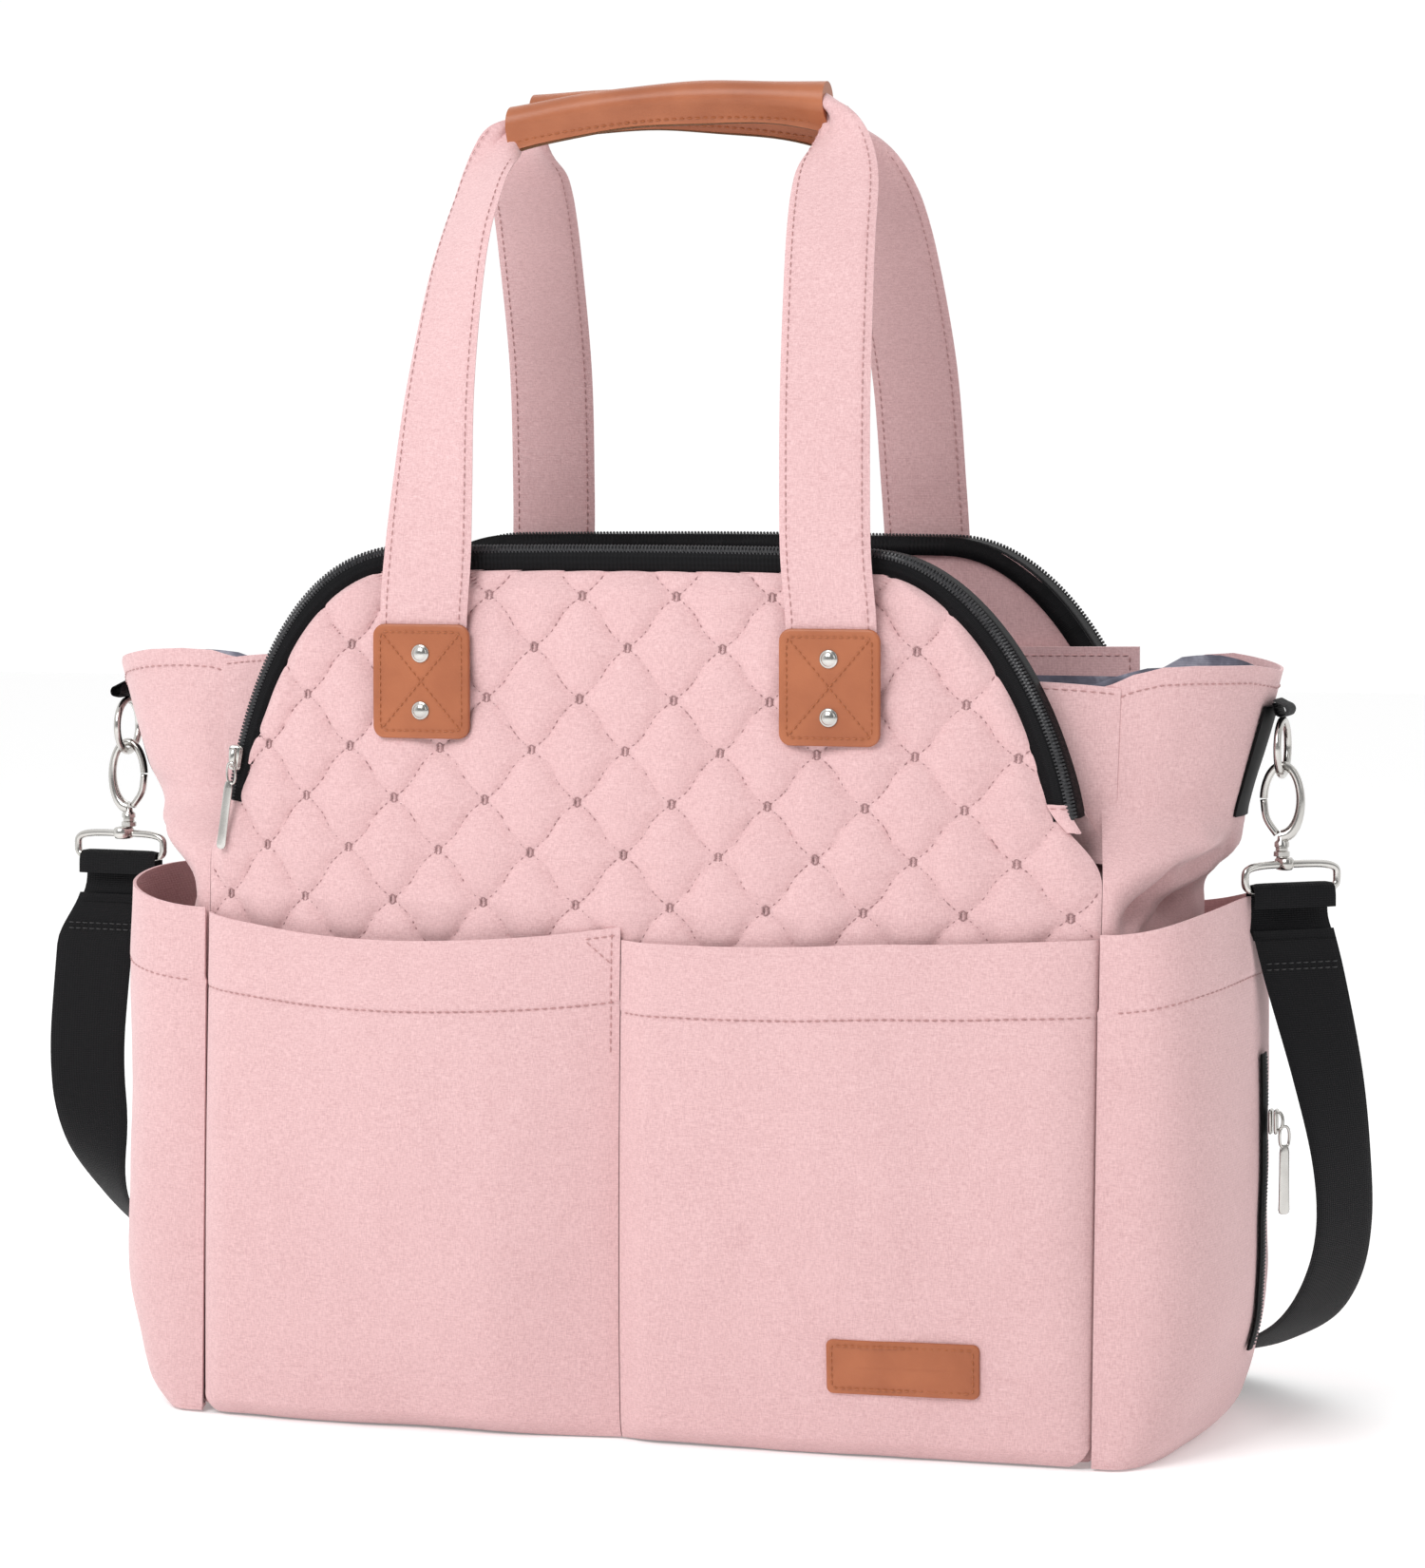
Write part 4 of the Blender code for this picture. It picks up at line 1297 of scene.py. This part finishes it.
def super_ring(centre, across, up, half_wide, half_high, power, steps=56):
    """A closed loop of wire between a rectangle and an oval."""
    line = []
    for i in range(steps):
        angle = TAU * i / steps
        a = half_wide * squared(math.cos(angle), power)
        b = half_high * squared(math.sin(angle), power)
        line.append(Vector(centre) + Vector(across).normalized() * a + Vector(up).normalized() * b)
    return line


def make_ring_side(name, side):
    tab_x = side * 256.9
    # The webbing goes down the edge, round the ring's top bar and back.
    fold = (
        (-3.0, 303.5), (0.0, 302), (1.6, 301.2), (2.4, 299.6), (1.9, 297.9),
        (0.2, 297.2), (-1.6, 297.6), (-2.4, 299.2), (-3.2, 302.4),
    )
    line = smooth_line([(tab_x + side * out, 0, z) for out, z in fold], 4)
    across = [Vector((0, 1, 0))] * len(line)
    outs = [a.cross(t).normalized() for a, t in zip(across, tangents(line))]
    points, faces, uvs = strip(line, across, outs, [21.5] * len(line), 1.2, 6)
    add_piece(
        f"d_ring_tab_{name}_webbing", (points, faces), "webbing", node=f"d_ring_tab_{name}",
        uvs=uvs, sharp=60,
    )
    wing = gusset_surface(side)

    def sewn(u, v):
        y, z = 11.0 - 22.0 * u, 256 + 45 * v
        _, middle, _ = gusset_point(side, 0.5, z)
        _, back_edge, _ = gusset_point(side, 1.0, z)
        t = 0.5 + math.asin(max(-1.0, min(1.0, (y - middle) / (back_edge - middle)))) / math.pi
        x, _, _ = wing(t, (z - GUSSET_FOOT) / (RIM - GUSSET_FOOT))
        return x + side * 1.4, y, z

    cloth_sheet(f"ring_webbing_{name}", sewn, 14, 26, 1.2, "webbing", side)
    line = super_ring((side * RING_X, 0, RING_CENTRE_Z), (0, 1, 0), (0, 0, 1), 11.2, 11.2, 1.0)
    add_piece(
        f"ring_{name}_wire", tube(line, 1.6, sides=14, closed=True), "nickel", f"ring_{name}",
        node=f"d_ring_{name}",
    )


def make_hook(name, side):
    x = side * RING_X
    angles = even(-math.pi / 2, TAU * 0.74 - math.pi / 2, 40)
    loop = [Vector((x + side * 7.6 * math.cos(a), 0, 262.4 + 14.4 * math.sin(a))) for a in angles]
    profile = (
        (2.0, 239.3), (3.3, 239.8), (3.3, 241.6), (2.5, 242.1), (2.5, 243.2),
        (3.0, 243.6), (3.0, 245.4), (1.9, 246.4), (1.7, 248.0),
    )
    barrel = lathed(profile, (x, 0, 0), (1, 0, 0), (0, 1, 0), (0, 0, 1), 24)
    sizes = [1.7 + 1.0 * math.exp(-(i / 9) ** 2) for i in range(41)]
    add_piece(
        f"hook_{name}_metal", merge([tube(loop, sizes, sides=14), barrel]), "nickel", f"hook_{name}",
        node=f"hook_{name}", sharp=50,
    )
    gate = [(x - side * out, 0, z) for out, z in ((2.0, 248.6), (6.3, 255.0), (7.6, 262.8))]
    shape = tube(smooth_line(gate, 6), (1.9, 1.5), sides=12, flat=(0, 1, 0))
    add_piece(f"hook_gate_{name}_metal", shape, "nickel", f"gate_{name}", node=f"hook_gate_{name}")
    across = LOOP_ACROSS[side]
    line = super_ring((side * LOOP_X, 0, LOOP_Z), across, (0, 0, 1), 21.5, 5.6, 0.5, 64)
    add_piece(
        f"swivel_loop_{name}_wire", tube(line, 1.6, sides=12, closed=True), "nickel", "strap",
        node=f"swivel_loop_{name}",
    )


STRAP_ROUTE = (
    ((261, 0, 210), (0.75, 0.66, 0)), ((265, 5, 190), (0.75, 0.66, 0)),
    ((273, 14, 150), (0.62, 0.78, 0)), ((278, 20, 115), (0.48, 0.88, 0)),
    ((278, 28, 86), (0.45, 0.89, 0)), ((271, 42, 61), (0.5, 0.86, 0)),
    ((257, 62, 40), (0.55, 0.83, 0)), ((236, 86, 25), (0.6, 0.8, 0)),
    ((212, 110, 14), (0.55, 0.8, 0)), ((175, 128, 7), (0.35, 0.93, 0)),
    ((130, 141, 4), (0.15, 1, 0)), ((70, 148, 3), (0, 1, 0)),
)
LOOP_ROUTE = (
    # how far through the loop, and z; the end that is sewn down is added for each side
    (3.5, 219), (3.4, 224), (2.6, 227.2), (0, 228.6), (-2.6, 227.2), (-3.4, 223), (-2.4, 214),
)
LOOP_ACROSS = {-1: Vector((0.985, -0.1, 0)).normalized(), 1: Vector((0.75, 0.66, 0)).normalized()}


def strap_line():
    """Centre line and width direction of the long webbing, from the left loop to the right one."""
    stations = [((0, 148, 3), (0, 1, 0)), *reversed(STRAP_ROUTE)]
    right = smooth_line([place for place, _ in stations], 8)
    right_wide = smooth_line([wide for _, wide in stations], 8)
    left = []
    for x, y, z in right[:0:-1]:
        bulge = 10.0 * (1 - smoothstep(186, 214, z)) - 4.0 * (1 - smoothstep(95, 150, z))
        left.append((-x - bulge * smoothstep(15, 60, z), y, z))
    left_wide = []
    for (x, y, z), (_, _, height) in zip(right_wide[:0:-1], left):
        facing = smoothstep(40, 120, height)
        left_wide.append((-x - 0.4 * facing, y * (1 - facing) + 0.1 * facing, z) if x else (0, 1, 0))
    line = [Vector(p) for p in left + list(map(tuple, right))]
    wide = [Vector(w).normalized() for w in left_wide + list(map(tuple, right_wide))]
    flips = []
    for w in wide:
        if flips and w.dot(flips[-1]) < 0:
            w = -w
        flips.append(w)
    return line, flips


def make_swivel_block(name, side):
    """The eye that holds the hook's post to the top bar of the strap's loop."""
    centre = Vector((side * 257.5, -2.0, 237.6))
    rings = []
    angles = [TAU * i / 24 for i in range(24)]
    for share, z in ((0.5, -3.4), (0.85, -3.0), (1.0, -1.8), (1.0, 1.0), (0.8, 1.9), (0.4, 2.2)):
        rings.append([
            centre + Vector((side * (4.6 * math.cos(a) * share * 0.75 + 3.4 * math.sin(a) * share * 0.66),
                             -4.6 * math.cos(a) * share * 0.66 + 3.4 * math.sin(a) * share * 0.75, z))
            for a in angles
        ])
    add_piece(f"swivel_eye_{name}", loft(rings), "nickel", "strap", sharp=50)


def make_shoulder_strap():
    line, wides = strap_line()
    outs = [wide.cross(ahead).normalized() for wide, ahead in zip(wides, tangents(line))]
    points, faces, uvs = strip(line, wides, outs, [STRAP_WIDTH] * len(line), 1.5, 12)
    parts = [(points, faces, uvs)]
    for side in (-1, 1):
        across = LOOP_ACROSS[side]
        through = Vector((across.y, -across.x, 0))
        loop_line = [Vector((side * LOOP_X, 0, z)) + through * a for a, z in LOOP_ROUTE]
        loop_line = smooth_line([*loop_line, (side * 261.5, 0, 206)], 4)
        wide = [across] * len(loop_line)
        out = [w.cross(ahead).normalized() for w, ahead in zip(wide, tangents(loop_line))]
        parts.append(strip(loop_line, wide, out, [STRAP_WIDTH] * len(loop_line), 1.4, 12))
    points, faces = merge([(p, f) for p, f, _ in parts])
    uvs = [uv for _, _, part_uvs in parts for uv in part_uvs]
    add_piece(
        "shoulder_strap_webbing", (points, faces), "webbing", "strap",
        node="shoulder_strap", uvs=uvs, sharp=60,
    )
    runs = []
    for side in (-1, 1):
        end = [i for i in range(len(line)) if side * line[i].x > 0 and 172 < line[i].z < 200]
        row = min(end, key=lambda i: abs(line[i].z - 196))
        for offset in (0, 2.5):
            centre = line[row] - Vector((0, 0, offset))
            for face in (-1, 1):
                run = [centre + wides[row] * (w - 17) + outs[row] * face * 0.75 for w in range(0, 35, 2)]
                runs.append((run, [outs[row] * face] * len(run)))
    add_stitches("shoulder_strap_stitches", runs, "thread_black", "strap", radius=0.3)


def make_adjuster():
    centre, bar = Vector((-70, 148, 5.8)), Vector((0, 20, 0))
    outline = [centre + Vector((a, b, 0)) for a, b in rounded_outline(22 - 3.2, 44 - 3.2, 3.0, 4)]
    bars = [
        tube(outline, (1.6, 1.2), sides=12, closed=True, flat=(0, 0, 1)),
        tube([centre - bar, centre + bar], (1.5, 1.1), sides=12, flat=(0, 0, 1)),
    ]
    add_piece("strap_adjuster_metal", merge(bars), "nickel", "adjuster", node="strap_adjuster")


# ---------------------------------------------------------------- zip sliders and side zip

def make_slider(name, place, out, along, lean=0.0, swung=0.0):
    """A zip's slider and its long puller, hanging from the bridge and turned about its own length."""
    place, out, along = Vector(place), Vector(out).normalized(), Vector(along).normalized()
    across = out.cross(along).normalized()
    parts = []
    for depth in (-1.6, 0.6):
        outline, tapered = rounded_outline(6.6, 10.4, 1.6, 4), []
        for inset, height in ((0.35, -0.6), (0.0, -0.25), (0.0, 0.25), (0.35, 0.6)):
            ring = []
            for x, z in outline:
                narrow = 1.0 - 0.2 * smoothstep(0, 5.2, -z) - inset / 4
                flat = place + across * x * narrow + along * z * (1 - inset / 6)
                ring.append(flat + out * (depth + height))
            tapered.append(ring)
        parts.append(loft(tapered))
    arch = ((4.0, 0.9), (3.6, 2.3), (1.6, 3.2), (-1.2, 3.2), (-3.0, 2.3), (-3.6, 0.9))
    bridge = [place + along * z + out * height for z, height in arch]
    parts.append(tube(smooth_line(bridge, 4), (1.5, 0.65), sides=10, flat=across))
    add_piece(
        f"slider_{name}_metal", merge(parts), "nickel", f"slider_{name}",
        node=f"zip_slider_{name}", sharp=50,
    )
    hinge = place + out * 4.0 + Vector((0, 0, -2))
    turn = Matrix.Rotation(math.radians(swung), 3, "Z")
    across, out = turn @ across, turn @ out
    ring = super_ring(hinge + Vector((0, 0, -4.2)), across, (0, 0, 1), 2.3, 4.4, 0.8, 30)
    # Width, half thickness and height under the hinge of the puller's plate.
    plate = (
        (2.0, 0.5, -7.4), (3.6, 0.62, -8.2), (4.6, 0.68, -10.5), (4.6, 0.7, -20),
        (4.9, 0.72, -30), (5.2, 0.72, -34.2), (4.2, 0.66, -35.6), (2.4, 0.5, -36.0),
    )
    angles = [TAU * i / 20 for i in range(20)]
    pull = []
    for width, thin, z in plate:
        centre = hinge + Vector((0.17 * z * lean, 0, z))
        pull.append([
            centre + across * width / 2 * squared(math.cos(a), 0.6) + out * thin * squared(math.sin(a), 0.8)
            for a in angles
        ])
    shape = merge([tube(ring, 0.6, sides=10, closed=True), loft(pull)])
    add_piece(
        f"puller_{name}_metal", shape, "nickel", f"puller_{name}",
        node=f"zip_puller_{name}", sharp=50,
    )


def make_sliders():
    arch_x = -181.6
    front = (arch_x + 2.6, front_y(abs(arch_x) - 3.6, 278) - 4.1, 276)
    make_slider("front", front, (0, -1, 0), (0.12, 0, 1), 1.0)
    back = (arch_x, back_y(abs(arch_x) - 3.6, 279) + 4.1, 279)
    make_slider("back", back, (0, 1, 0), (0.12, 0, 1), 1.0)
    side = (side_zip_x(SIDE_SLIDER_Z) + 5.6, 0, SIDE_SLIDER_Z)
    make_slider("side", side, (1, 0, 0), (0, 0, 1), swung=-48)


def side_zip_x(z):
    """How far out the right side pocket stands at its middle, at height z."""
    return side_pocket_surface(1)(0.5, z / (POCKET_RIM + SIDE_POCKET_RISE))[0]


def make_side_zip():
    def tape(u, v):
        y, z = -4.6 + 9.2 * u, 37 + 122 * v
        return side_zip_x(z) + 1.3 - 0.6 * (2 * u - 1) ** 2, y, z

    cloth_sheet("side_zip_tape_fabric", tape, 12, 40, 1.0, "tape", 1, node="side_zip_tape")
    teeth = []
    pitch, top, angles = 1.5, 158, [math.radians(a) for a in range(0, 181, 30)]
    for k in range(80):
        z = top - pitch * k
        if abs(z - SIDE_SLIDER_Z) < 6.4:
            continue
        x = side_zip_x(z) + 1.7
        for face, lower in ((-1, 0.0), (1, pitch / 2)):
            arc = [
                Vector((x + 0.75 * math.sin(a), face * (0.2 + 0.95 * (1 - math.cos(a))), z - lower))
                for a in angles
            ]
            teeth.append(tube(arc, 0.42, sides=6))
    add_piece("side_zip_teeth", merge(teeth), "coil")
    runs = []
    for y in (-3.9, 3.9):
        run = [Vector((side_zip_x(top - i) + 1.1, y, top - i)) for i in range(0, 121, 2)]
        runs.append((run, [Vector((1, 0, 0))] * len(run)))
    add_stitches("side_zip_stitches", runs, "thread_black", radius=0.22, pitch=2.6)


make_camera()
make_studio()
make_panels()
make_arch_zip("front", front_y, DIVIDER_FRONT, 0.0)
make_arch_zip("back", back_y, DIVIDER_BACK, BACK_LIFT)
make_zip_end()
make_pockets()
make_inside()
make_base()
make_sleeve()
make_label()
make_handles()
for ring_name, ring_side in BOTH_SIDES:
    make_ring_side(ring_name, ring_side)
    make_hook(ring_name, ring_side)
    make_swivel_block(ring_name, ring_side)
make_shoulder_strap()
make_adjuster()
make_sliders()
make_side_zip()
